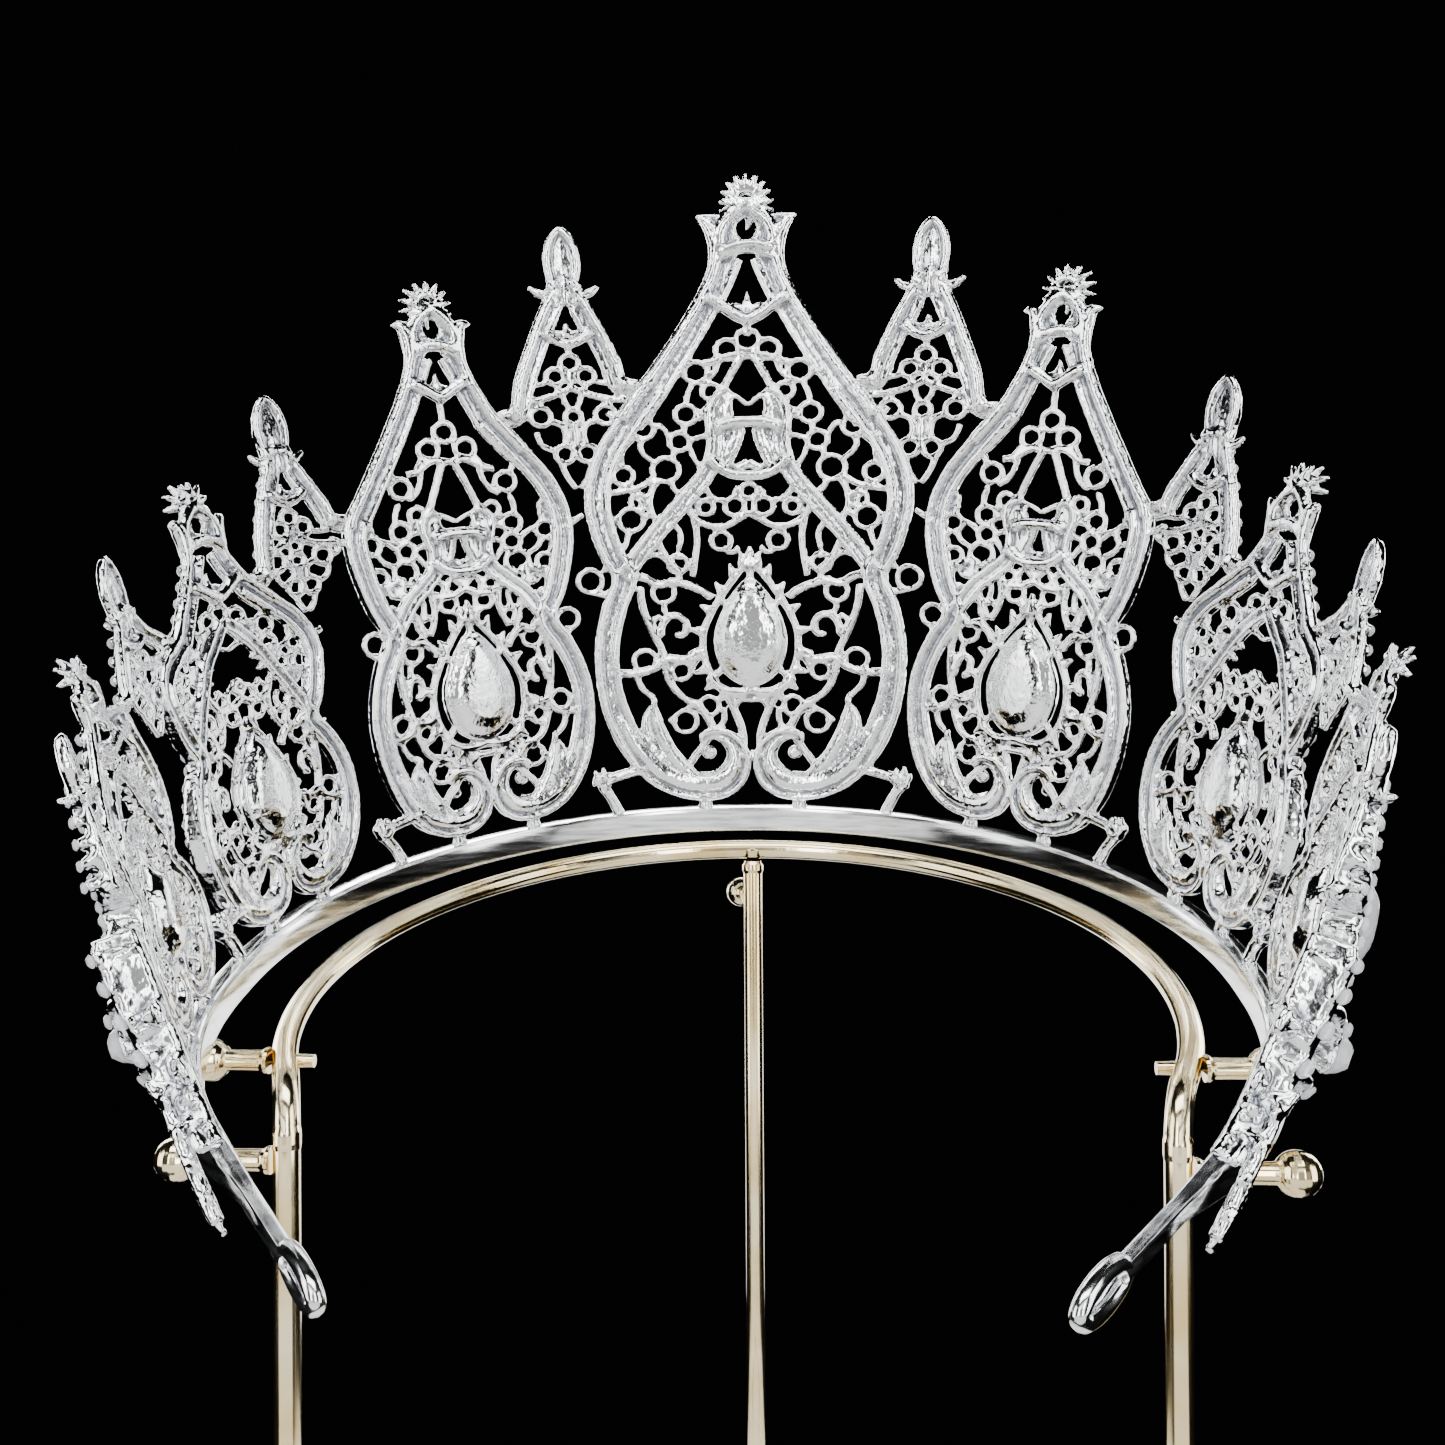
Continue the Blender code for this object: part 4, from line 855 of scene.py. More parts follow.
def draw_finial(pattern, k):
    # Burst of rays round a boss, over a pointed arch with a keyhole opening
    tip = PANEL_TIP[k]
    size = FRAME_HALF_WIDTH[k] / FRAME_HALF_WIDTH[0]
    r = BURST_R[k]
    centre = tip - r
    wide = widening(centre)
    front = BURST_FRONT * size
    pattern.run([(0.0, centre - r * 0.12), (0.0, centre + r * 0.12)], [r * 0.56, r * 0.56], -0.1, 0.45)
    pattern.run([(0.0, centre - r * 0.1), (0.0, centre + r * 0.1)], [r * 0.5, r * 0.5], front * 0.55, 0.4)
    # The low panels have fewer and stouter rays
    rays = BURST_RAYS[k]
    stout = size if k < TALL_PANELS else 1.35 * size
    reach = r - 0.35 * stout
    spacing_deg = 224.0 / (2 * rays - 2)
    for i in range(2 * rays - 1):
        a = math.radians(-22.0 + spacing_deg * i)
        # Every other ray stands in the plane of the openwork, the rest bend to its front
        depths = (-0.4, -0.5, -0.4) if i % 2 == 0 else (0.4, front * 0.6, front - 0.5 * size)
        points = []
        for share, depth in zip((0.35, 0.78, 1.0), depths):
            points.append((share * reach * math.cos(a) / wide, centre + share * reach * math.sin(a), depth))
        pattern.deep(points, [0.56 * stout, 0.46 * stout, 0.3 * stout])
    for side in (-1, 1):
        arch = finial_line(k, (0.0, 5.9), (2.3, 7.8), (3.9, 10.2), (4.2, 13.0))
        pattern.run(flipped(arch, side), times(size, 1.0, 1.05, 1.1, 1.1), -0.5)
        keyhole = finial_line(k, (0.0, 7.2), (1.95, 9.4), (1.5, 11.6), (0.5, 12.9))
        pattern.run(flipped(keyhole, side), 0.5 * size, -0.15)
        plate = finial_line(k, (2.7, 10.8), (2.9, 12.6), (3.0, 15.2))
        pattern.run(flipped(plate, side), times(size, 1.0, 1.5, 1.6), 0.1, 0.4)
        # Web and level brow of the ear
        top = (EAR_OUT[k] + 0.6 * size, tip - EAR_DROP[k])
        brow = [top, (ease(EAR_OUT[k], WAIST_HALF[k], 0.45), top[1] - 0.3 * size),
                (WAIST_HALF[k] * 0.9, top[1] - 0.5 * size)]
        pattern.run(flipped(brow, side), times(size, 0.25, 0.5, 0.6), -0.2)
        web = finial_line(k, (5.3, 8.9), (4.6, 10.4), (4.4, 13.0))
        pattern.run(flipped(web, side), times(size, 0.7, 1.05, 1.1), 0.05, 0.4)
    upper_strand = finial_line(k, (-4.0, 14.3), (-1.3, 13.2), (1.2, 13.0), (3.8, 13.7))
    pattern.run(upper_strand, 0.72 * size, -0.85)
    lower_strand = finial_line(k, (-3.9, 15.2), (-1.4, 14.2), (1.4, 14.1), (4.0, 15.1))
    pattern.run(lower_strand, 0.62 * size, -0.6)
    # Curled leaf that shows through the keyhole
    curl = finial_line(k, (0.0, 7.4), (0.45, 8.8), (-0.1, 10.2))
    pattern.run(curl, times(size, 0.5, 0.55, 0.25), 0.7)


def draw_inner_arch(pattern, carry, k, side):
    # Horns and bars of the pointed arch over the pear
    size = WIRE_SCALE[k]
    tall = k < TALL_PANELS
    if tall:
        line = ((5.1, 77.6), (5.2, 74.0), (5.3, 70.4), (6.7, 66.0), (10.2, 61.3), (15.4, 55.0), (19.6, 49.6),
                (21.6, 46.8))
    else:
        line = ((0.4, 87.6), (3.6, 82.0), (7.4, 74.6), (11.6, 66.0), (16.6, 56.6), (21.4, 46.8))
    points = carry.points(line)
    wide = (1.65 if tall else 1.3) * size * (1.0 if k == 0 else 0.9)
    pattern.run(flipped(points, side), wide, 0.05, 0.5)
    for share in (-0.64, 0.64):
        edge = beside(points, [share * wide] * len(points))
        pattern.run(flipped(edge, side), 0.5 * size, -0.5)
    if tall:
        horn = carry.points(((4.6, 72.6), (4.3, 76.4), (3.5, 79.6), (2.8, 81.0)))
        pattern.run(flipped(horn, side), times(size, 1.7, 2.1, 1.3, 0.4), -0.15, 0.4)
        brink = carry.points(((6.3, 72.6), (6.3, 76.6), (5.0, 80.0), (3.0, 81.2)))
        pattern.run(flipped(brink, side), times(size, 0.6, 0.6, 0.55, 0.35), -0.5)
        leg = carry.points(((1.6, 73.8), (2.3, 71.0), (3.9, 67.2)))
        pattern.run(flipped(leg, side), 1.25 * size, -0.2, 0.7)


def draw_gable(pattern, carry, k, side):
    # Top of a panel under its finial: flat legs, a V bar and a three-lobed flower
    size = WIRE_SCALE[k]
    plate = carry.points(((2.1, 104.6), (3.4, 101.2), (4.9, 97.8)))
    pattern.run(flipped(plate, side), times(size, 1.25, 1.4, 1.3), 0.15, 0.4)
    leg = carry.points(((1.1, 104.4), (2.3, 100.8), (3.7, 97.4)))
    pattern.run(flipped(leg, side), 0.6 * size, -0.4)
    vee = carry.points(((0.0, 93.3), (1.8, 94.3), (3.9, 96.1), (5.8, 97.6)))
    pattern.run(flipped(vee, side), 1.0 * size, -0.55)
    crown = carry.points(((0.3, 95.4), (1.4, 95.9), (2.5, 96.5)))
    pattern.run(flipped(crown, side), times(size, 0.55, 0.7, 0.3), 0.6)
    draw_wires(pattern, carry, GABLE_WIRES, GABLE_RINGS, side, k)


def draw_collets(pattern, places, top, rim):
    # Round cups that hold the small stones off the front of the bars
    for x, h, r in places:
        pattern.deep([(x, h, 0.2), (x, h, 0.5 * top), (x, h, top)], [r * 0.75, r * 0.9, r + rim])


def draw_halo(pattern, k):
    # Crown-shaped ring with pointed teeth outside, and bars to the setting. The two
    # small panels on each side have a narrower ring
    size = WIRE_SCALE[k]
    if k < TALL_PANELS:
        gap, reach, count, wire, thick = HALO_GAP, 3.5, 22, 0.62, 0.95
    else:
        gap, reach, count, wire, thick = 1.5, 2.0, 16, 0.5, 0.7
    ring_w = PEAR_HALF_W[k] + gap
    ring_h = PEAR_HALF_H[k] + gap
    line = pear_outline(PEAR_H[k], ring_w + 0.25, ring_h + 0.25, count)
    pattern.run(line, wire * size, -0.1, closed=True)
    root = pear_outline(PEAR_H[k], ring_w + 0.9 * size, ring_h + 0.9 * size, count)
    far = pear_outline(PEAR_H[k], ring_w + reach * size, ring_h + (reach - 0.2) * size, count)
    for i in range(1, count):
        tooth = (ease(line[i][0], far[i][0], 0.92), ease(line[i][1], far[i][1], 0.92) + 0.35)
        pattern.run([root[i], tooth], [thick * size, 0.25 * size], -0.15, 0.8, sharp=True)
    peak = PEAR_H[k] + ring_h
    pattern.run([(0.0, peak - 0.2), (0.0, peak + (reach + 0.1) * size)], times(size, 1.6, 0.3), -0.1, 0.8,
                sharp=True)
    for a in (0.9, 2.2, 3.1416, 4.08, 5.38):
        x0, y0 = pear_point(a, PEAR_HALF_W[k] - 0.3, PEAR_HALF_H[k] - 0.3)
        x1, y1 = pear_point(a, ring_w, ring_h)
        pattern.run([(x0, PEAR_H[k] + y0), (x1, PEAR_H[k] + y1)], 0.6, -0.1, sharp=True)


def pear_cup(k):
    # Setting seen from behind: a dented egg-shaped dome inside a raised rim, open in front
    sides = 40
    # Depth of each level, its width and height against the pear's, and how egg-shaped it is
    levels = ((CUP_FRONT, 1.04, 1.0, 0.0), (0.4, 1.1, 1.02, 0.3), (-0.7, 1.12, 1.02, 0.6),
              (-1.15, 1.06, 0.97, 0.8), (-1.0, 0.99, 0.92, 1.0), (-1.5, 0.93, 0.87, 1.0),
              (-2.1, 0.8, 0.77, 1.0), (-2.55, 0.58, 0.6, 1.0), (-2.75, 0.24, 0.3, 1.0))
    verts = []
    faces = []
    for w, wide, tall, egg in levels:
        for x, y in pear_outline(0.0, PEAR_HALF_W[k] * wide, PEAR_HALF_H[k] * tall, sides):
            rise = max(0.0, y / (PEAR_HALF_H[k] * tall))
            x *= 1.0 + egg * 0.5 * rise ** PEAR_POWER
            verts.append((x / widening(PEAR_H[k]), PEAR_H[k] + y, w))
    rings = len(levels)
    for r in range(rings - 1):
        for i in range(sides):
            j = (i + 1) % sides
            faces.append((sides * r + i, sides * r + j, sides * (r + 1) + j, sides * (r + 1) + i))
    faces.append(tuple(reversed(range(sides))))
    faces.append(tuple(range(sides * (rings - 1), sides * rings)))
    mesh = bpy.data.meshes.new("pear_cup")
    mesh.from_pydata(verts, [], faces)
    mesh.update()
    return new_object("pear_cup", mesh)


def flower_place(k):
    # Middle of the flower beside a panel's foot, by its distance from the axis and its height
    edge = PANEL_HALF[k] + FRAME_HALF_WIDTH[k]
    return (edge + 0.45 if k == 0 else edge + 1.6), FLOWER_H - 0.4 * k


def draw_flower(pattern, k, side):
    # Six petals round a swirl, in the low gap between two panels
    x, h = flower_place(k)
    r = FLOWER_R - 0.12 * k
    pattern.blob(side * x, h, r * 0.62, -0.3, 0.8)
    swirl = []
    for i in range(8):
        a = math.radians(50.0 * i)
        swirl.append((side * x + (0.2 + 0.19 * i) * math.cos(a), h + (0.2 + 0.19 * i) * math.sin(a)))
    pattern.run(swirl, 0.4, -1.0)
    for i in range(6):
        a = math.radians(60.0 * i + 15.0)
        pattern.blob(side * x + r * 0.66 * math.cos(a), h + r * 0.66 * math.sin(a), 0.95, -0.15)
    # Bar to the panel's side and a bent leg down to the band
    pattern.run(flipped([lower_curve_point(k, 55), (x - r * 0.5, h)], side), 0.95, -0.1)
    leg = [(x, h - 1.2), (x - 1.4, SEAT_HEIGHT + 3.0), (x - 2.9, SEAT_HEIGHT - 0.4)]
    pattern.run(flipped(leg, side), [1.0, 0.95, 1.05])


def draw_foot(pattern, k, side):
    # Short stem from a foot scroll down to the band
    x = EYE_X[k] + 1.0
    stem = [(x, SEAT_HEIGHT - 0.4), (x, SEAT_HEIGHT + 1.0), (x + 0.2, EYE_H[k] - CURL_R[k])]
    pattern.run(flipped(stem, side), [1.5, 1.05, 1.35], 0.0, 0.72)


def draw_leaf(pattern, carry, k, side):
    # Two blades that rise between a foot scroll and the panel's side
    size = RING_SCALE[k]
    for line, radii in LEAF_BLADES:
        pattern.run(flipped(carry.points(line), side), [r * size for r in radii], -0.25, 0.7)
    x, h = carry.point(17.5, 23.0)
    pattern.blob(side * x, h, 1.15 * size, -0.4)


def draw_panel(k, left_valley, right_valley):
    pattern = Pattern(bpy.context.scene.tiara_casting.swell)
    size = WIRE_SCALE[k]
    tall = k < TALL_PANELS
    # The low panels have no ring between the side bar and its neighbour
    field_rings = FIELD_RINGS if tall else FIELD_RINGS[:-1]
    draw_finial(pattern, k)
    for side, valley in ((-1, left_valley), (1, right_valley)):
        line, widths = frame_line(k, valley)
        carry = Carry(k, line)
        draw_frame_bar(pattern, k, line, widths, side)
        draw_scroll(pattern, k, line, widths, side)
        draw_gable(pattern, carry, k, side)
        draw_inner_arch(pattern, carry, k, side)
        draw_wires(pattern, carry, ARCH_WIRES, ARCH_RINGS, side, k)
        draw_wires(pattern, carry, UPPER_WIRES, UPPER_RINGS, side, k)
        draw_wires(pattern, carry, FIELD_WIRES, field_rings, side, k)
        pattern.run(flipped(carry.points(HOOK), side), 0.62 * size)
        draw_leaf(pattern, carry, k, side)
        draw_foot(pattern, k, side)
        if side > 0 or k == 0:
            draw_flower(pattern, k, side)
        if tall:
            bar = carry.points(((0.0, 74.9), (2.6, 74.8), (5.2, 73.8)))
            pattern.run(flipped(bar, side), [0.95, 0.9, 1.0], -0.75)
            bowl = carry.points(((0.0, 65.0), (2.6, 65.2), (4.6, 66.4), (6.4, 68.2)))
            pattern.run(flipped(bowl, side), 0.9, -0.7)
            leaf = carry.points(((0.0, 67.4), (1.6, 66.6), (2.8, 66.4)))
            pattern.run(flipped(leaf, side), [0.9, 0.7, 0.4], 0.3)
        rim = carry.points(((0.0, 24.4), (2.8, 24.0), (5.6, 25.2), (7.6, 27.2)))
        pattern.run(flipped(rim, side), 0.85 * size, -0.1)
    gap_x = EYE_X[k] - CURL_R[k] * 0.93
    # Bar between the two foot scrolls
    bar = [(-gap_x - 0.6, EYE_H[k] + 0.3), (0.0, EYE_H[k]), (gap_x + 0.6, EYE_H[k] + 0.3)]
    pattern.run(bar, 0.95 * size)
    # Claws of the front setting, seen as a small crown over the V bar
    _, h = Carry(k, frame_line(k, right_valley)[0]).point(0.0, 95.0)
    pattern.run([(0.0, h), (0.0, h + 3.0 * RING_SCALE[k])], [1.3 * RING_SCALE[k], 0.3], 0.7)
    pattern.blob(0.0, h + 3.3 * RING_SCALE[k], 0.5 * RING_SCALE[k], 0.5)
    draw_halo(pattern, k)
    pattern.solids.append(pear_cup(k))
    draw_collets(pattern, panel_stone_places(k, left_valley, right_valley), PANEL_CUP_TOP, CUP_RIM)
    return pattern


def spaced(line, pitch, start, stop):
    # Points at an even pitch along a line, between two shares of its length
    points = [Vector((x, h)) for x, h in line]
    lengths = [0.0]
    for a, b in zip(points, points[1:]):
        lengths.append(lengths[-1] + (b - a).length)
    total = lengths[-1]
    count = max(2, int((stop - start) * total / pitch))
    at = [start * total + (stop - start) * total * i / (count - 1) for i in range(count)]
    xs = np.interp(at, lengths, [p.x for p in points])
    hs = np.interp(at, lengths, [p.y for p in points])
    return list(zip(xs.tolist(), hs.tolist()))


def panel_stone_places(k, left_valley, right_valley):
    # Small round stones set on the front of a panel: middle, height and half size
    stones = bpy.context.scene.tiara_stones
    places = []
    hw = FRAME_HALF_WIDTH[k]
    r = hw * stones.share
    for side, valley in ((-1, left_valley), (1, right_valley)):
        line, _ = frame_line(k, valley)
        for x, h in spaced(line, 2.0 * r + stones.pitch, 0.02, 0.99):
            places.append((side * x, h, r))
        x, h = flower_place(k)
        if side > 0 or k == 0:
            places.append((side * x, h, 1.15))
        places.append((side * EYE_X[k], EYE_H[k] + CURL_R[k] * 0.1, 1.3 * RING_SCALE[k]))
        if k < TALL_PANELS:
            # Slimmer stones down the inner arch
            arch = Carry(k, line).points(
                ((5.2, 74.0), (5.3, 70.4), (6.7, 66.0), (10.2, 61.3), (15.4, 55.0), (19.2, 50.2)))
            small = r * 0.78
            for px, ph in spaced(arch, 2.0 * small + stones.pitch, 0.0, 1.0):
                places.append((side * px, ph, small))
    return places


# Cut stones

def hull_mesh(name, points):
    mesh = bpy.data.meshes.new(name)
    form = bmesh.new()
    for point in points:
        form.verts.new(point)
    made = bmesh.ops.convex_hull(form, input=form.verts)
    spare = [v for v in made["geom_interior"] if isinstance(v, bmesh.types.BMVert)]
    bmesh.ops.delete(form, geom=spare, context='VERTS')
    bmesh.ops.recalc_face_normals(form, faces=form.faces)
    form.to_mesh(mesh)
    form.free()
    return mesh


def round_stone():
    # Unit brilliant: eight-sided table, crown, thin girdle and shallow base, each row given
    # by its corners, its radius, its depth and its turn
    points = []
    rows = ((8, 0.56, 0.5, 0.5), (8, 0.84, 0.3, 0.0), (16, 1.0, 0.04, 0.25), (16, 1.0, -0.06, 0.25),
            (8, 0.62, -0.36, 0.0))
    for count, radius, w, turn in rows:
        for i in range(count):
            a = 2.0 * math.pi * (i + turn) / count
            points.append((radius * math.cos(a), radius * math.sin(a), w))
    return hull_mesh("round_stone", points)


def pear_stone(k):
    # Pear cut: flat table, two rows of crown facets, girdle and shallow base, each row
    # given by its corners, its share of the outline, its depth and its turn
    half_w = PEAR_HALF_W[k] - 0.5
    half_h = PEAR_HALF_H[k] - 0.5
    points = []
    base = CUP_FRONT + GAP
    rows = ((12, 0.55, TABLE, 0.0), (12, 0.77, 3.4, 0.5), (24, 0.97, GIRDLE + 0.35, 0.25),
            (24, 1.0, GIRDLE, 0.25), (12, 0.78, base + 0.2, 0.5), (8, 0.4, base + 0.05, 0.0),
            (1, 0.0, base, 0.0))
    for count, scale, w, turn in rows:
        for i in range(count):
            a = 2.0 * math.pi * (i + turn) / count
            x, y = pear_point(a, half_w, half_h)
            points.append((x * scale / widening(PEAR_H[k]), PEAR_H[k] + y * scale, w))
    return hull_mesh("pear_stone", points)


def set_stones(name, places, axis, side, depth):
    # One mesh of all the small stones of a piece, bent with it
    unit = round_stone()
    form = mesh_points(unit)
    faces = [tuple(p.vertices) for p in unit.polygons]
    verts = []
    polys = []
    chance = random.Random(len(places))
    for x, h, r in places:
        turn = chance.uniform(0.0, math.pi)
        cos = math.cos(turn)
        sin = math.sin(turn)
        start = len(verts)
        for px, ph, pw in form:
            verts.append((x + r * (px * cos - ph * sin), h + r * (px * sin + ph * cos), depth + r * pw))
        polys += [tuple(start + i for i in face) for face in faces]
    mesh = bpy.data.meshes.new(name)
    mesh.from_pydata(verts, [], polys)
    piece = new_object(name, mesh)
    bend(piece, axis, side)
    finish_piece(piece, "clear_crystal", "clear_crystal")
    bpy.data.meshes.remove(unit)


# Buds

def bud_levels(j):
    # Size of a bud's bars against the first bud's, and the heights of its neck and waist
    size = BUD_BAR[j] / BUD_BAR[0]
    neck = BUD_TIP[j] - BUD_LENGTH[j]
    return size, neck, neck - BUD_WAIST_DROP * size


def bud_feet(j):
    # Left and right feet of a gable, where it meets the panels on either side
    b = BUD_BAR[j]
    left = VALLEY[2 * j]
    right = VALLEY[2 * j + 1]
    return ((left[0] + b * 1.4 + GAP - BUD_AXIS[j], left[1] - 0.6),
            (right[0] - b * 1.4 - GAP - BUD_AXIS[j], right[1] - 0.6))


class BudCarry:
    """Carries points of the first bud gable's pattern to one side of bud j"""

    def __init__(self, j, side):
        feet = bud_feet(j)
        which = 0 if side < 0 else 1
        mid = 0.5 * (feet[0][1] + feet[1][1])
        _, neck, waist = bud_levels(j)
        self.heights = (TONGUE_H[j], mid, ease(waist, mid, 0.42), neck, BUD_TIP[j])
        self.foot_share = abs(feet[which][0]) / abs(bud_feet(0)[which][0])
        self.top_share = BUD_HALF[j] / BUD_HALF[0]

    def point(self, x, h):
        to_h = float(np.interp(h, BUD_PATTERN_H, self.heights))
        share = float(np.interp(h, (BUD_PATTERN_H[1], BUD_PATTERN_H[3]), (self.foot_share, self.top_share)))
        return x * share, to_h

    def points(self, line):
        return [self.point(x, h) for x, h in line]


def bud_legs(j):
    # Middle lines of the two legs of a gable, from the bud's neck to its feet
    _, neck, waist = bud_levels(j)
    legs = []
    for side, foot in zip((-1, 1), bud_feet(j)):
        knee = (ease(side * BUD_HALF[j], foot[0], 0.4), ease(waist, foot[1], 0.43))
        thigh = (ease(side * 0.5, knee[0], 0.5), ease(neck, knee[1], 0.42))
        shin = (ease(knee[0], foot[0], 0.55), ease(knee[1], foot[1], 0.5))
        legs.append([(side * 0.5, neck + 0.4), thigh, knee, shin, foot])
    return legs


def draw_bud(j):
    # Hollow bud on a forked gable that stands in the valley between two panels
    pattern = Pattern(bpy.context.scene.tiara_casting.swell)
    tip = BUD_TIP[j]
    half = BUD_HALF[j] * (1.0 + 0.06 * j)
    length = BUD_LENGTH[j]
    b = BUD_BAR[j]
    size, neck, waist = bud_levels(j)
    # Hollow pointed petal with a raised rim and a fold down its middle
    petal = [(0.0, neck - 0.2 * size)] + [(0.0, neck + share * length) for share in (0.16, 0.38, 0.62, 0.82)]
    petal.append((0.0, tip - 0.7 * size))
    widths = [half * 0.74, half * 0.86, half * 0.94, half * 0.8, half * 0.5, 0.5 * size]
    pattern.run(petal, widths, 0.6 * size, 0.4)
    for side in (-1, 1):
        rim = [(0.0, tip - 0.5 * size), (half * 0.46, neck + 0.8 * length),
               (half * 0.76, neck + 0.52 * length), (half * 0.74, neck + 0.26 * length), (half * 0.5, neck)]
        pattern.run(flipped(rim, side), times(size, 0.45, 0.55, 0.6, 0.55, 0.5), -0.25)
    pattern.run([(0.0, neck + 0.1 * length), (0.0, neck + 0.5 * length), (0.0, tip - 1.6 * size)],
                times(size, 0.9, 0.5, 0.3), 0.1)
    # Rough collar under the petal, with a short hooked leaf on each side
    for side in (-1, 1):
        pattern.blob(side * 1.5 * size, neck - 0.5 * size, 1.5 * size, -0.2, 0.7)
        pattern.blob(side * 2.3 * size, neck + 0.4 * size, 0.95 * size, -0.5)
        pattern.blob(side * 1.1 * size, neck + 0.9 * size, 0.7 * size, -0.9)
        pattern.blob(side * 1.6 * size, waist + 0.5 * size, 1.2 * size, -0.1, 0.8)
        leaf = [(2.2 * size, neck - 0.9 * size), (BUD_LEAF[j] - 1.5 * size, neck - 0.6 * size),
                (BUD_LEAF[j] - 0.2, neck + 0.6 * size)]
        pattern.run(flipped(leaf, side), times(size, 0.8, 0.75, 0.4), -0.1, 0.8)
    pattern.run([(0.0, waist), (0.0, neck + 1.8 * size)], 0.6 * size, -0.5)
    # Prong that stands out of the neck to the front
    prong = [(0.0, waist + 0.8 * size, 0.4), (0.0, waist + 1.0 * size, 2.2 * size),
             (0.0, waist + 1.7 * size, BUD_PRONG * size - 0.4)]
    pattern.deep(prong, times(size, 0.85, 0.75, 0.34))
    for side, leg in zip((-1, 1), bud_legs(j)):
        carry = BudCarry(j, side)
        # A polished bar outside, a flat strip inside it and a thin brink
        joint = (leg[-1][0] + side * (b * 1.4 + GAP), leg[-1][1] - 0.9 * size)
        line = leg + [joint]
        outer = beside(line, [side * b * 0.5] * 6)
        pattern.run(outer, [b * 0.45, b * 0.5, b * 0.56, b * 0.58, b * 0.6, b * 0.6], -0.3)
        inner = beside(line, [-side * b * 0.48] * 6)
        pattern.run(inner, [b * 0.55, b * 0.6, b * 0.66, b * 0.68, b * 0.7, b * 0.7], 0.0, 0.5)
        brink = beside(leg, [-side * b * 0.95] * 5)
        pattern.run(brink, 0.34 * size, -0.35)
        pattern.blob(leg[-1][0], leg[-1][1] + 0.2, b * 0.9, -0.35)
        plate = carry.points(((1.0, 98.2), (1.7, 95.0), (3.1, 91.4)))
        pattern.run(flipped(plate, side), times(size, 0.75, 0.9, 0.8), -0.1, 0.6)
        vee = carry.points(((0.0, 89.4), (1.6, 90.0), (3.6, 91.8)))
        pattern.run(flipped(vee, side), 0.8 * size, -0.55)
        crown = carry.points(((0.2, 91.0), (1.0, 91.4), (1.8, 92.0)))
        pattern.run(flipped(crown, side), times(size, 0.5, 0.6, 0.25), 0.5)
        draw_wires(pattern, carry, BUD_WIRES, BUD_RINGS, side, j)
    _, h = BudCarry(j, 1).point(0.0, 91.0)
    pattern.run([(0.0, h), (0.0, h + 2.4 * size)], times(size, 1.0, 0.25), 0.6)
    draw_collets(pattern, bud_stone_places(j), BUD_CUP_TOP, CUP_RIM)
    return pattern


def bud_stone_places(j):
    # Stones down both legs of a gable
    stones = bpy.context.scene.tiara_stones
    r = BUD_BAR[j] * stones.share
    places = []
    for leg in bud_legs(j):
        for x, h in spaced(leg, 2.0 * r + stones.pitch, 0.12, 0.97):
            places.append((x, h, r))
    return places


def end_leaf_point(share_x, share_h, lift=0.0):
    # A point of the end bracket, by shares of its reach along the lip and its height
    return (END_LEAF_START + END_LEAF_REACH * share_x,
            SEAT_HEIGHT + lift + (END_LEAF_H - SEAT_HEIGHT) * share_h)


def end_leaf_line(*places):
    return [end_leaf_point(*place) for place in places]


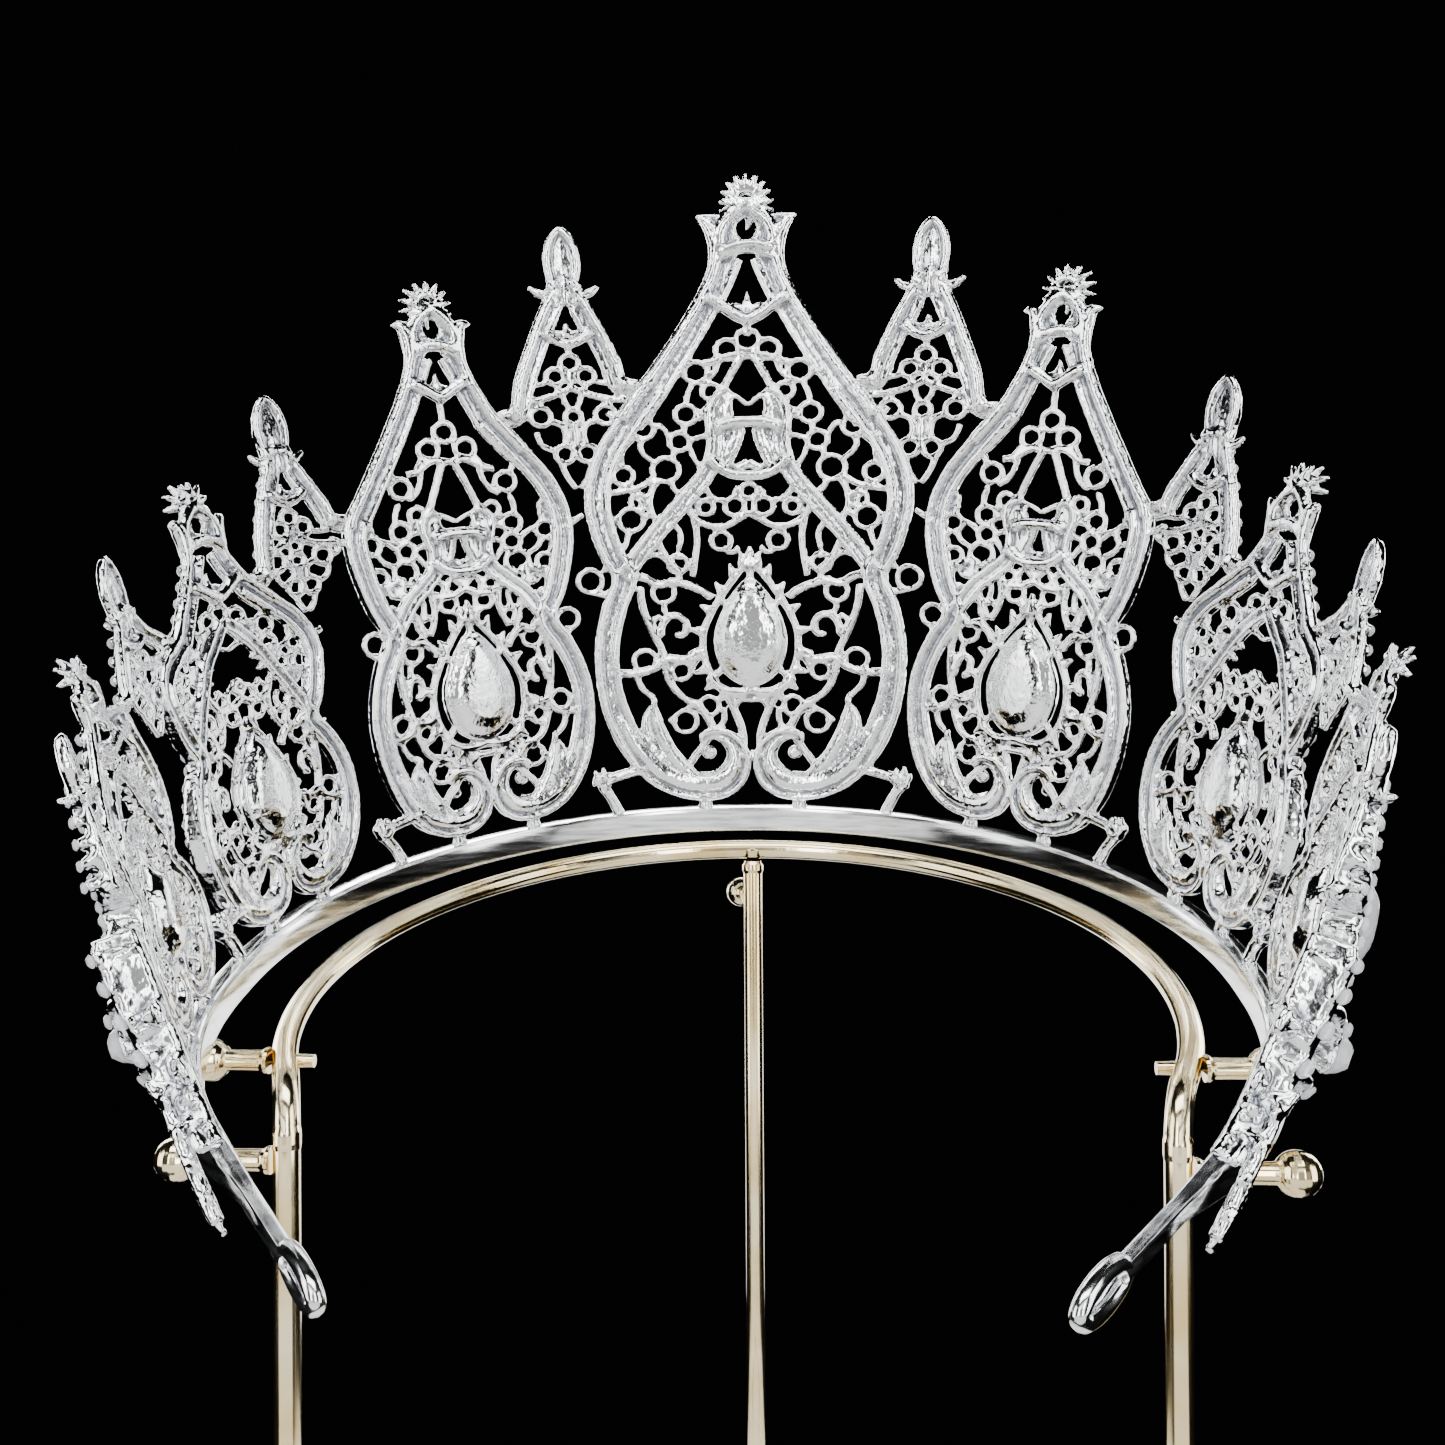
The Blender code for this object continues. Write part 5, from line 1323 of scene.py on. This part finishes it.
def draw_end_leaf():
    # Scrolled bracket with a knobbly tongue that hangs past the band's outer face
    pattern = Pattern(bpy.context.scene.tiara_casting.swell)
    w = END_LEAF_WIDTH / 2.0
    spine = end_leaf_line((0.34, 0.98), (0.39, 0.84), (0.45, 0.68), (0.58, 0.37), (0.8, 0.12),
                          (0.99, 0.0, w * 0.62))
    foot = end_leaf_line((0.58, 0.37), (0.42, 0.27), (0.36, 0.13), (0.41, 0.0, w * 0.7))
    curl = end_leaf_line((0.45, 0.68), (0.32, 0.62), (0.23, 0.52), (0.19, 0.38))
    for lift, thick in ((-0.3, 0.72), (1.3, 0.6)):
        pattern.run(spine, [thick * w * f for f in (0.6, 0.85, 0.95, 1.0, 0.85, 0.7)], lift)
        pattern.run(foot, thick * w * 0.85, lift)
        pattern.run(curl, [thick * w * f for f in (0.75, 0.8, 0.75, 0.5)], lift)
    # Beads of different sizes down both edges of the spine
    chance = random.Random(END_LEAF_SEED)
    for i, (x, h) in enumerate(spaced(spine, 1.9, 0.02, 0.98)):
        reach = w * chance.uniform(0.3, 0.62) * (1.0 if i % 2 else -1.0)
        pattern.blob(x + reach, h + reach * 0.45, chance.uniform(0.75, 1.15), chance.uniform(-0.5, 1.2))
    for x, h in spaced(foot + curl, 2.3, 0.05, 0.98):
        pattern.blob(x + chance.uniform(-0.5, 0.5), h, chance.uniform(0.6, 0.95), chance.uniform(-0.4, 1.0))
    outside = 0.5 * (BAND_THICK - WORK_OFFSET + GAP + TONGUE_FRONT)
    tongue = []
    for share_x, share_h, lift in ((0.62, 0.32, 0.0), (0.74, 0.2, 0.0), (0.88, 0.06, 0.0), (1.02, 0.0, -2.4),
                                   (1.16, 0.0, -TONGUE_DROP + 0.8)):
        x, h = end_leaf_point(share_x, share_h, lift)
        tongue.append((x, h, outside))
    pattern.deep(tongue, [w * f for f in (0.3, 0.4, 0.5, 0.55, 0.5)])
    for i, (x, h) in enumerate(spaced([(p[0], p[1]) for p in tongue], 1.7, 0.1, 1.0)):
        turn = 1.0 if i % 2 else -1.0
        r = chance.uniform(0.85, 1.15)
        knob = [(x, h + turn * 0.95, outside - 0.3), (x + 0.2, h + turn * 1.0, outside + 0.3)]
        pattern.deep(knob, [r, r * 0.85])
    for share_x, share_h, r in ((0.34, 0.8, 1.1), (0.6, 0.62, 1.2), (0.5, 0.14, 1.1), (0.72, 0.34, 1.1),
                                (0.24, 0.74, 1.0), (0.3, 0.28, 1.1)):
        x, h = end_leaf_point(share_x, share_h)
        pattern.ring(x, h, r, 0.5)
        pattern.blob(x, h, r * 0.75, 0.4)
    draw_collets(pattern, end_leaf_stone_places(), END_CUP_TOP, END_CUP_RIM)
    return pattern


def end_leaf_stone_places():
    # Stones down the bracket's spine and side scrolls, and a large one beside them
    places = []
    for share_x, share_h, r in ((0.37, 0.9, 0.8), (0.42, 0.76, 0.95), (0.49, 0.6, 1.05), (0.57, 0.42, 1.1),
                                (0.68, 0.25, 1.0), (0.82, 0.12, 0.85), (0.22, 0.5, 0.9), (0.38, 0.2, 0.9),
                                (0.12, 0.3, 2.3)):
        x, h = end_leaf_point(share_x, share_h)
        places.append((x, h, r))
    return places


# Materials

def add_node(tree, kind, values=None, links=None, **settings):
    # A shader node with its settings, the values of its sockets and the links into them
    made = tree.nodes.new(kind)
    for name, value in settings.items():
        setattr(made, name, value)
    for name, value in (values or {}).items():
        made.inputs[name].default_value = value
    for name, source in (links or {}).items():
        tree.links.new(source, made.inputs[name])
    return made


def new_material(name):
    # A new material's node tree and its shader
    material = bpy.data.materials.new(name)
    material.use_nodes = True
    tree = material.node_tree
    return tree, tree.nodes["Principled BSDF"]


def four(value):
    # Colour with full opacity
    return (value[0], value[1], value[2], 1.0)


def two_tones(tree, noise, first, first_at, second, second_at):
    # Runs from one colour to another as a noise rises between two values
    tones = add_node(tree, "ShaderNodeValToRGB", {}, {"Fac": noise.outputs["Fac"]})
    low, high = tones.color_ramp.elements
    low.color = four(first)
    low.position = first_at
    high.color = four(second)
    high.position = second_at
    return tones


def cast_silver_plate():
    # Cast alloy under a bright silver plate: mirror-like on the high spots, softer and
    # greyer in the hollows, where the grey is painted shade along with the matte of the cast recesses, with
    # shallow dents and fine casting pits
    colours = bpy.context.scene.tiara_colours
    tree, shader = new_material("cast_silver_plate")
    place = add_node(tree, "ShaderNodeTexCoord")
    # Concavity of the cast skin, which darkens the recesses as painted shade along with their matte grey
    hollow = add_node(tree, "ShaderNodeAttribute", attribute_name="hollow")
    # Cloudiness of the plate, patches about 3 mm wide
    cloud = add_node(tree, "ShaderNodeTexNoise", {"Scale": 330.0, "Detail": 3.0, "Roughness": 0.55},
                     {"Vector": place.outputs["Object"]})
    # Grit of the mould, grains about 0.35 mm wide, drawn coarse enough to show
    grit = add_node(tree, "ShaderNodeTexNoise", {"Scale": 2600.0, "Detail": 2.0, "Roughness": 0.6},
                    {"Vector": place.outputs["Object"]})
    # Soft dents of the casting, about 1 mm wide
    dent = add_node(tree, "ShaderNodeTexNoise", {"Scale": 900.0, "Detail": 1.0},
                    {"Vector": place.outputs["Object"]})
    depth = add_node(tree, "ShaderNodeMath", {1: 0.35}, {0: cloud.outputs["Fac"]}, operation='MULTIPLY')
    # Painted shade of the hollows added to the plate's cloudiness; it darkens the colour and raises the
    # roughness
    shade = add_node(tree, "ShaderNodeMath", {}, {0: hollow.outputs["Fac"], 1: depth.outputs["Value"]},
                     operation='ADD', use_clamp=True)
    tone = add_node(tree, "ShaderNodeMix", {"A": four(colours.silver_light), "B": four(colours.silver_dark)},
                    {"Factor": shade.outputs["Value"]}, data_type='RGBA')
    tree.links.new(tone.outputs["Result"], shader.inputs["Base Color"])
    rough = add_node(tree, "ShaderNodeMapRange", {"To Min": 0.06, "To Max": 0.24},
                     {"Value": shade.outputs["Value"]})
    tree.links.new(rough.outputs["Result"], shader.inputs["Roughness"])
    coarse = add_node(tree, "ShaderNodeBump", {"Strength": 0.45, "Distance": 0.0003},
                      {"Height": dent.outputs["Fac"]})
    fine = add_node(tree, "ShaderNodeBump", {"Strength": 0.25, "Distance": 0.00012},
                    {"Height": grit.outputs["Fac"], "Normal": coarse.outputs["Normal"]})
    tree.links.new(fine.outputs["Normal"], shader.inputs["Normal"])
    shader.inputs["Metallic"].default_value = 1.0


def polished_silver_plate():
    # The same plate on a smooth wrought strip: clean reflections with faint polishing marks
    colours = bpy.context.scene.tiara_colours
    tree, shader = new_material("polished_silver_plate")
    place = add_node(tree, "ShaderNodeTexCoord")
    # Polishing marks run round the band, so the noise is drawn out along it
    turned = add_node(tree, "ShaderNodeMapping", {"Scale": (120.0, 120.0, 1400.0)},
                      {"Vector": place.outputs["Object"]})
    marks = add_node(tree, "ShaderNodeTexNoise", {"Scale": 1.0, "Detail": 3.0},
                     {"Vector": turned.outputs["Vector"]})
    tones = two_tones(tree, marks, colours.silver_dark, 0.15, colours.silver_light, 0.6)
    tree.links.new(tones.outputs["Color"], shader.inputs["Base Color"])
    rough = add_node(tree, "ShaderNodeMapRange", {"To Min": 0.06, "To Max": 0.24},
                     {"Value": marks.outputs["Fac"]})
    tree.links.new(rough.outputs["Result"], shader.inputs["Roughness"])
    bump = add_node(tree, "ShaderNodeBump", {"Strength": 0.06, "Distance": 0.0002},
                    {"Height": marks.outputs["Fac"]})
    tree.links.new(bump.outputs["Normal"], shader.inputs["Normal"])
    shader.inputs["Metallic"].default_value = 1.0


def gold_plated_rod():
    # Drawn brass rod with a pale gold plate: bright, with faint draw lines and warmer patches
    colours = bpy.context.scene.tiara_colours
    tree, shader = new_material("gold_plated_rod")
    place = add_node(tree, "ShaderNodeTexCoord")
    drawn = add_node(tree, "ShaderNodeMapping", {"Scale": (900.0, 900.0, 60.0)},
                     {"Vector": place.outputs["Object"]})
    lines = add_node(tree, "ShaderNodeTexNoise", {"Scale": 1.0, "Detail": 2.0},
                     {"Vector": drawn.outputs["Vector"]})
    patch = add_node(tree, "ShaderNodeTexNoise", {"Scale": 90.0, "Detail": 3.0},
                     {"Vector": place.outputs["Object"]})
    tones = two_tones(tree, patch, colours.gold_dark, 0.3, colours.gold_light, 0.62)
    tree.links.new(tones.outputs["Color"], shader.inputs["Base Color"])
    rough = add_node(tree, "ShaderNodeMapRange", {"To Min": 0.08, "To Max": 0.2},
                     {"Value": lines.outputs["Fac"]})
    tree.links.new(rough.outputs["Result"], shader.inputs["Roughness"])
    bump = add_node(tree, "ShaderNodeBump", {"Strength": 0.08, "Distance": 0.0002},
                    {"Height": lines.outputs["Fac"]})
    tree.links.new(bump.outputs["Normal"], shader.inputs["Normal"])
    shader.inputs["Metallic"].default_value = 1.0


def clear_crystal():
    # Machine-cut lead crystal: clear, hard-edged facets with bright inner reflections
    colours = bpy.context.scene.tiara_colours
    _, shader = new_material("clear_crystal")
    shader.inputs["Base Color"].default_value = four(colours.crystal)
    shader.inputs["Roughness"].default_value = 0.02
    shader.inputs["IOR"].default_value = 1.56
    shader.inputs["Transmission Weight"].default_value = 1.0


def pale_floor():
    # Matt painted table top
    tree, shader = new_material("pale_floor")
    place = add_node(tree, "ShaderNodeTexCoord")
    speck = add_node(tree, "ShaderNodeTexNoise", {"Scale": 40.0, "Detail": 4.0},
                     {"Vector": place.outputs["Object"]})
    tones = two_tones(tree, speck, colour("#CFCFD1"), 0.0, colour("#DADADB"), 1.0)
    tree.links.new(tones.outputs["Color"], shader.inputs["Base Color"])
    shader.inputs["Roughness"].default_value = 0.7


# Band

def band_piece():
    # A straight strip with rounded edges and a bead along its top, drawn out, tapered
    # into the arms and then bent round
    reach = BAND_ARC_LENGTH + ARM_LENGTH
    mid = 0.5 * (BAND_TOP + BAND_BOTTOM)
    deselect()
    bpy.ops.mesh.primitive_cube_add(size=1.0)
    piece = bpy.context.object
    points = mesh_points(piece.data)
    points[:, 0] *= 2.0 * reach
    points[:, 1] = mid + points[:, 1] * (BAND_TOP - BAND_BOTTOM)
    points[:, 2] = (points[:, 2] + 0.5) * BAND_THICK
    set_mesh_points(piece.data, points)
    form = bmesh.new()
    form.from_mesh(piece.data)
    long_edges = [e for e in form.edges if abs(e.verts[0].co.x - e.verts[1].co.x) > reach]
    bmesh.ops.bevel(form, geom=long_edges, offset=0.55, segments=4, profile=0.5, affect='EDGES')
    long_edges = [e for e in form.edges if abs(e.verts[0].co.x - e.verts[1].co.x) > reach]
    bmesh.ops.subdivide_edges(form, edges=long_edges, cuts=239, use_grid_fill=True)
    form.to_mesh(piece.data)
    form.free()
    points = mesh_points(piece.data)
    over = np.clip((np.abs(points[:, 0]) - BAND_ARC_LENGTH) / (ARM_LENGTH * ARM_TAPER), 0.0, 1.0)
    tall = ease(1.0, 2.0 * ARM_END_HALF_HEIGHT / (BAND_TOP - BAND_BOTTOM), over)
    points[:, 1] = mid + (points[:, 1] - mid) * tall
    points[:, 2] = points[:, 2] * ease(1.0, ARM_END_THICK / BAND_THICK, over)
    set_mesh_points(piece.data, points)
    # Oval wire loop at the end of each arm, with the solder that holds it
    depth = ARM_END_THICK / 2.0
    knots = 12
    runs = []
    for side in (-1.0, 1.0):
        loop = []
        for i in range(knots):
            a = 2.0 * math.pi * i / knots
            c = reach + LOOP_LENGTH * 0.5 - 1.0 + (LOOP_LENGTH * 0.5 - LOOP_WIRE) * math.cos(a)
            loop.append((side * c, mid + (LOOP_WIDTH * 0.5 - LOOP_WIRE) * math.sin(a), depth))
        runs.append((loop, [LOOP_WIRE * 1.08] * knots, True, False))
        solder = [(side * (reach - 2.0), mid, depth), (side * (reach + 1.2), mid, depth)]
        runs.append((solder, [1.1, 1.15], False, True))
    loops = tube_object("loops", runs, 8, 4)
    # Bead along the inner edge of the lip
    places = np.linspace(-BAND_ARC_LENGTH, BAND_ARC_LENGTH, 61)
    line = [(s, BAND_TOP - 0.32, 0.42) for s in places]
    bead = tube_object("bead", [(line, [0.4] * len(line), False, False)], 3, 2)
    piece = joined("tiara_band", [piece, loops, bead])
    bend(piece, 0.0, 1.0, False)
    piece.data.shade_smooth()
    choose(piece)
    bpy.ops.object.shade_smooth_by_angle(angle=math.radians(BAND_CREASE_DEG))
    finish_piece(piece, "polished_silver_plate", "cast_silver", "band")


# Stand

def bow_point(angle_deg):
    # A point of the bow's middle line, by its angle from the front
    a = math.radians(angle_deg)
    centre = CENTRE + Vector((0.0, -BOW_FORWARD, BOW_FORWARD * math.tan(TILT))) - UP * BOW_BELOW_BAND
    return centre + (RIGHT * math.sin(a) + FRONT * math.cos(a)) * (BAND_RADIUS - BOW_INSET)


def stand_leg(tip, before, foot_top):
    # Bend at one end of the bow and the post that runs down from it to the foot
    d = (tip - before).normalized()
    down = Vector((0.0, 0.0, -1.0))
    turn = d.angle(down)
    centre_dir = (down - d * d.dot(down)).normalized()
    points = []
    for i in range(1, LEG_BEND_STEPS + 1):
        a = turn * i / LEG_BEND_STEPS
        ahead = d * (BEND_RADIUS * math.sin(a))
        inward = centre_dir * (BEND_RADIUS * (1.0 - math.cos(a)))
        points.append(tip + ahead + inward)
    last = points[-1]
    for f in (0.08, 0.2, 0.4, 0.6, 0.8, 1.0):
        points.append(Vector((last.x, last.y, ease(last.z, foot_top, f))))
    return points


def rod(name, lines, node):
    # Round rods in metres through points given in mm, with the half thickness at each
    runs = []
    for points, radii, closed in lines:
        runs.append(([tuple(p) for p in points], radii, closed, False))
    piece = tube_object(name, runs, 6, 6)
    piece.data.transform(Matrix.Scale(MM, 4))
    piece.data.shade_smooth()
    choose(piece)
    bpy.ops.object.shade_smooth_by_angle(angle=math.radians(ROD_CREASE_DEG))
    finish_piece(piece, "gold_plated_rod", "gold_rod", node)


def peg(name, base, tip, start, node, stub=0.0):
    # A short rod with a collar at its root and a ball at its end, and where it goes
    # through the bow a stub on the inner side
    d = (tip - base).normalized()
    length = (tip - base).length
    pr = PEG_D / 2.0
    profile = [(start, pr * 1.12), (start + 0.5, pr * 1.15), (start + 0.9, pr * 0.92)]
    neck = length - BALL_R * 1.15
    profile += [(ease(start + 0.9, neck, 0.5), pr * 0.9), (neck, pr * 0.9)]
    middle = length - BALL_R * 0.14
    for a in range(150, -1, -15):
        t = math.radians(a)
        along = middle - BALL_R * 0.96 * math.cos(math.pi - t)
        profile.append((along, max(0.05, BALL_R * 0.95 * math.sin(t))))
    profile.sort()
    lines = [([base + d * s for s, _ in profile], [r for _, r in profile], False)]
    if stub > 0.0:
        inner = [base - d * (ROD_D / 2 - 0.3), base - d * (ROD_D / 2 + stub)]
        lines.append((inner, [pr * 0.6, pr * 0.55], False))
    rod(name, lines, node)


def build_stand():
    r = ROD_D / 2.0
    foot_top = ROD_D + GAP
    end_deg = 90.0 + BOW_PAST_SIDE_DEG
    arc = [bow_point(-end_deg + 2.0 * end_deg * i / BOW_STEPS) for i in range(BOW_STEPS + 1)]
    right_leg = stand_leg(arc[-1], arc[-2], foot_top)
    left_leg = stand_leg(arc[0], arc[1], foot_top)
    path = list(reversed(left_leg)) + arc + right_leg
    lines = [(path, [r] * len(path), False)]
    # Swelling of weld where the front post meets the bow
    top = bow_point(0.0)
    weld = [top + Vector((0.0, 0.0, z)) for z in (0.9, -0.2, -1.3, -1.95)]
    lines.append((weld, [1.1, 2.15, 1.9, 1.2], False))
    # Slight swelling where each bend runs out into its post
    for leg in (right_leg, left_leg):
        knee = leg[LEG_BEND_STEPS - 1]
        lines.append(([knee + Vector((0.0, 0.0, z)) for z in (2.0, 0.8, -0.8, -2.2)],
                      [r * 0.9, r * 1.07, r * 1.08, r * 0.95], False))
    rod("rod_bow_and_near_posts", lines, "stand_bow")
    post_top = top.z - r / math.cos(TILT) - GAP - 0.15
    post = []
    for f in (0.0, 0.2, 0.4, 0.6, 0.8, 0.95, 0.985, 1.0):
        post.append(Vector((0.0, top.y, ease(foot_top, post_top, f))))
    collar = [Vector((0.0, top.y, post_top - z)) for z in (0.0, 0.7, 1.8, 2.6)]
    rod("rod_front_post", [(post, [r] * 6 + [r * 1.02, r * 0.92], False),
                           (collar, [r * 0.9, r * 1.16, r * 1.16, r * 0.95], False)], "stand_front_post")
    # The foot is the circle through the feet of the three posts
    x1 = right_leg[-1].x
    y1 = right_leg[-1].y
    y0 = top.y
    yc = (x1 * x1 + y1 * y1 - y0 * y0) / (2.0 * (y1 - y0))
    radius = yc - y0
    ring = []
    for i in range(FOOT_STEPS):
        a = 2.0 * math.pi * i / FOOT_STEPS
        ring.append(Vector((radius * math.sin(a), yc + radius * math.cos(a), r)))
    rod("rod_round_foot", [(ring, [r * 0.995] * FOOT_STEPS, True)], "stand_foot")
    for side, tag, leg in ((1, "right", right_leg), (-1, "left", left_leg)):
        outward = RIGHT * side
        base = bow_point(side * UPPER_PEG_DEG)
        # The ball ends under the band, which rests on it
        behind = (base.y - CENTRE.y) / math.cos(TILT)
        if behind > 0.0:
            behind = max(0.0, behind - SIDE_RUN)
        tip = outward * (math.sqrt(BAND_RADIUS ** 2 - behind ** 2) + UPPER_PEG_UNDER)
        tip.y = base.y
        tip.z = base.z
        peg("peg_%s_upper" % tag, base, tip, r + GAP, "stand_peg_%s_upper" % tag, UPPER_PEG_STUB)
        knee = leg[LEG_BEND_STEPS - 1]
        base = Vector((knee.x, knee.y, knee.z - LOWER_PEG_DROP))
        tip = base + outward * LOWER_PEG_LENGTH
        peg("peg_%s_lower" % tag, base, tip, r + GAP, "stand_peg_%s_lower" % tag)
    base = Vector((0.0, top.y, top.z - FRONT_PEG_DROP))
    turn = math.radians(FRONT_PEG_TURN_DEG)
    outward = Vector((math.sin(turn), -math.cos(turn), 0.0))
    peg("peg_front", base, base + outward * FRONT_PEG_LENGTH, r + GAP, "stand_peg_front")


def panel_sides(k):
    # The sides that have panel k, with the ending of their names
    if k == 0:
        return ((1, "centre"),)
    return ((1, "right_%d" % k), (-1, "left_%d" % k))


# Operators

class TIARA_OT_band(bpy.types.Operator):
    """Polished band with its arms and end loops"""
    bl_idname = "tiara.band"
    bl_label = "Band"

    def execute(self, context):
        band_piece()
        return {'FINISHED'}


class TIARA_OT_panels(bpy.types.Operator):
    """Seven cast panels with their small front stones"""
    bl_idname = "tiara.panels"
    bl_label = "Panels"

    def execute(self, context):
        for k in range(4):
            axis = PANEL_AXIS[k]
            if k == 0:
                left = right = VALLEY[0]
            else:
                inner = VALLEY[2 * k - 1]
                outer = VALLEY[2 * k]
                left = (axis - inner[0], inner[1])
                right = (outer[0] - axis, outer[1])
            flat = cast("panel_%d_flat" % k, draw_panel(k, left, right))
            places = panel_stone_places(k, left, right)
            for side, tag in panel_sides(k):
                place_cast(flat, "cast_panel_" + tag, axis, side, "panel_" + tag)
                set_stones("small_stones_" + tag, places, axis, side, PANEL_STONE_FRONT)
            drop(flat)
        return {'FINISHED'}


class TIARA_OT_buds(bpy.types.Operator):
    """Eight bud gables between and beside the panels"""
    bl_idname = "tiara.buds"
    bl_label = "Bud gables"

    def execute(self, context):
        for j in range(4):
            flat = cast("bud_%d_flat" % j, draw_bud(j))
            places = bud_stone_places(j)
            for side, tag in ((1, "right_%d" % (j + 1)), (-1, "left_%d" % (j + 1))):
                place_cast(flat, "cast_bud_" + tag, BUD_AXIS[j], side, "bud_" + tag)
                set_stones("bud_stones_" + tag, places, BUD_AXIS[j], side, BUD_STONE_FRONT)
            drop(flat)
        return {'FINISHED'}


class TIARA_OT_ends(bpy.types.Operator):
    """Scrolled bracket at each end of the openwork"""
    bl_idname = "tiara.ends"
    bl_label = "End brackets"

    def execute(self, context):
        flat = cast("end_flat", draw_end_leaf())
        for side, tag in ((1, "right"), (-1, "left")):
            place_cast(flat, "cast_end_leaf_" + tag, 0.0, side, "end_leaf_" + tag)
            set_stones("end_stones_" + tag, end_leaf_stone_places(), 0.0, side, END_STONE_FRONT)
        drop(flat)
        return {'FINISHED'}


class TIARA_OT_stones(bpy.types.Operator):
    """Pear-cut crystal in front of each panel's setting"""
    bl_idname = "tiara.stones"
    bl_label = "Pear stones"

    def execute(self, context):
        for k in range(4):
            for side, tag in panel_sides(k):
                piece = new_object("pear_stone_" + tag, pear_stone(k))
                piece.data.name = piece.name
                bend(piece, PANEL_AXIS[k], side)
                finish_piece(piece, "clear_crystal", "clear_crystal", "stone_" + tag)
        return {'FINISHED'}


class TIARA_OT_stand(bpy.types.Operator):
    """Bent rod stand with its round foot and ball pegs"""
    bl_idname = "tiara.stand"
    bl_label = "Stand"

    def execute(self, context):
        build_stand()
        return {'FINISHED'}


class TIARA_OT_materials(bpy.types.Operator):
    """Silver plate, gold-plated rod, crystal and floor"""
    bl_idname = "tiara.materials"
    bl_label = "Materials"

    def execute(self, context):
        cast_silver_plate()
        polished_silver_plate()
        gold_plated_rod()
        clear_crystal()
        pale_floor()
        return {'FINISHED'}


def soft_light(name, place, aim, width, height, power):
    # White card light that the camera doesn't see
    data = bpy.data.lights.new(name, 'AREA')
    data.shape = 'RECTANGLE'
    data.size = width
    data.size_y = height
    data.energy = power * bpy.context.scene.tiara_stage.light
    data.color = (1.0, 1.0, 1.0)
    lamp = new_object(name, data)
    lamp.location = place
    lamp.rotation_mode = 'QUATERNION'
    lamp.rotation_quaternion = (Vector(aim) - Vector(place)).to_track_quat('-Z', 'Y')
    lamp.visible_camera = False


class TIARA_OT_stage(bpy.types.Operator):
    """Pale floor, soft studio light and the camera"""
    bl_idname = "tiara.stage"
    bl_label = "Stage"

    def execute(self, context):
        stage = context.scene.tiara_stage
        deselect()
        bpy.ops.mesh.primitive_cylinder_add(vertices=128, radius=stage.floor_radius, depth=FLOOR_THICK,
                                            location=(0.0, 0.0, -0.5 * FLOOR_THICK))
        floor = bpy.context.object
        floor.name = "pale_floor"
        bpy.ops.object.transform_apply(location=True, rotation=True, scale=True)
        floor.data.materials.append(bpy.data.materials["pale_floor"])
        world = bpy.data.worlds.new("studio")
        world.use_nodes = True
        backdrop = world.node_tree.nodes["Background"]
        backdrop.inputs["Color"].default_value = four(colour("#050506"))
        backdrop.inputs["Strength"].default_value = 1.0
        context.scene.world = world
        for name, place, aim, width, height, power in LIGHTS:
            soft_light(name, place, aim, width, height, power)
        camera = bpy.data.cameras.new("camera")
        camera.sensor_fit = 'HORIZONTAL'
        camera.sensor_width = 36.0
        camera.lens = camera.sensor_width * FOCAL_PIXELS / IMAGE_WIDTH
        camera.clip_start = 0.01
        seat = new_object("camera", camera)
        seat.location = (CAMERA_X, CENTRE.y * MM + CAMERA_BEHIND_BAND, CAMERA_HEIGHT)
        seat.rotation_euler = [math.radians(angle) for angle in CAMERA_TURN_DEG]
        context.scene.camera = seat
        return {'FINISHED'}


class TIARA_PT_sidebar(bpy.types.Panel):
    """Steps of the tiara, in the order they run"""
    bl_idname = "TIARA_PT_sidebar"
    bl_label = "Tiara"
    bl_space_type = 'VIEW_3D'
    bl_region_type = 'UI'
    bl_category = "Tiara"

    def draw(self, context):
        for step in STEPS:
            self.layout.operator(step.bl_idname)
        for name, _ in GROUPS:
            group = getattr(context.scene, name)
            for prop in group.bl_rna.properties:
                if prop.identifier not in ("rna_type", "name"):
                    self.layout.prop(group, prop.identifier)


STEPS = (TIARA_OT_materials, TIARA_OT_band, TIARA_OT_panels, TIARA_OT_buds, TIARA_OT_ends, TIARA_OT_stones,
         TIARA_OT_stand, TIARA_OT_stage)
GROUPS = (("tiara_casting", TiaraCasting), ("tiara_colours", TiaraColours), ("tiara_stones", TiaraStones),
          ("tiara_stage", TiaraStage))


def register():
    for name, group in GROUPS:
        bpy.utils.register_class(group)
        setattr(bpy.types.Scene, name, bpy.props.PointerProperty(type=group))
    for step in STEPS:
        bpy.utils.register_class(step)
    bpy.utils.register_class(TIARA_PT_sidebar)


def unregister():
    bpy.utils.unregister_class(TIARA_PT_sidebar)
    for step in reversed(STEPS):
        bpy.utils.unregister_class(step)
    for name, group in reversed(GROUPS):
        delattr(bpy.types.Scene, name)
        bpy.utils.unregister_class(group)


def main():
    register()
    bpy.ops.tiara.materials()
    bpy.ops.tiara.band()
    bpy.ops.tiara.panels()
    bpy.ops.tiara.buds()
    bpy.ops.tiara.ends()
    bpy.ops.tiara.stones()
    bpy.ops.tiara.stand()
    bpy.ops.tiara.stage()
    deselect()


if __name__ == "__main__":
    main()
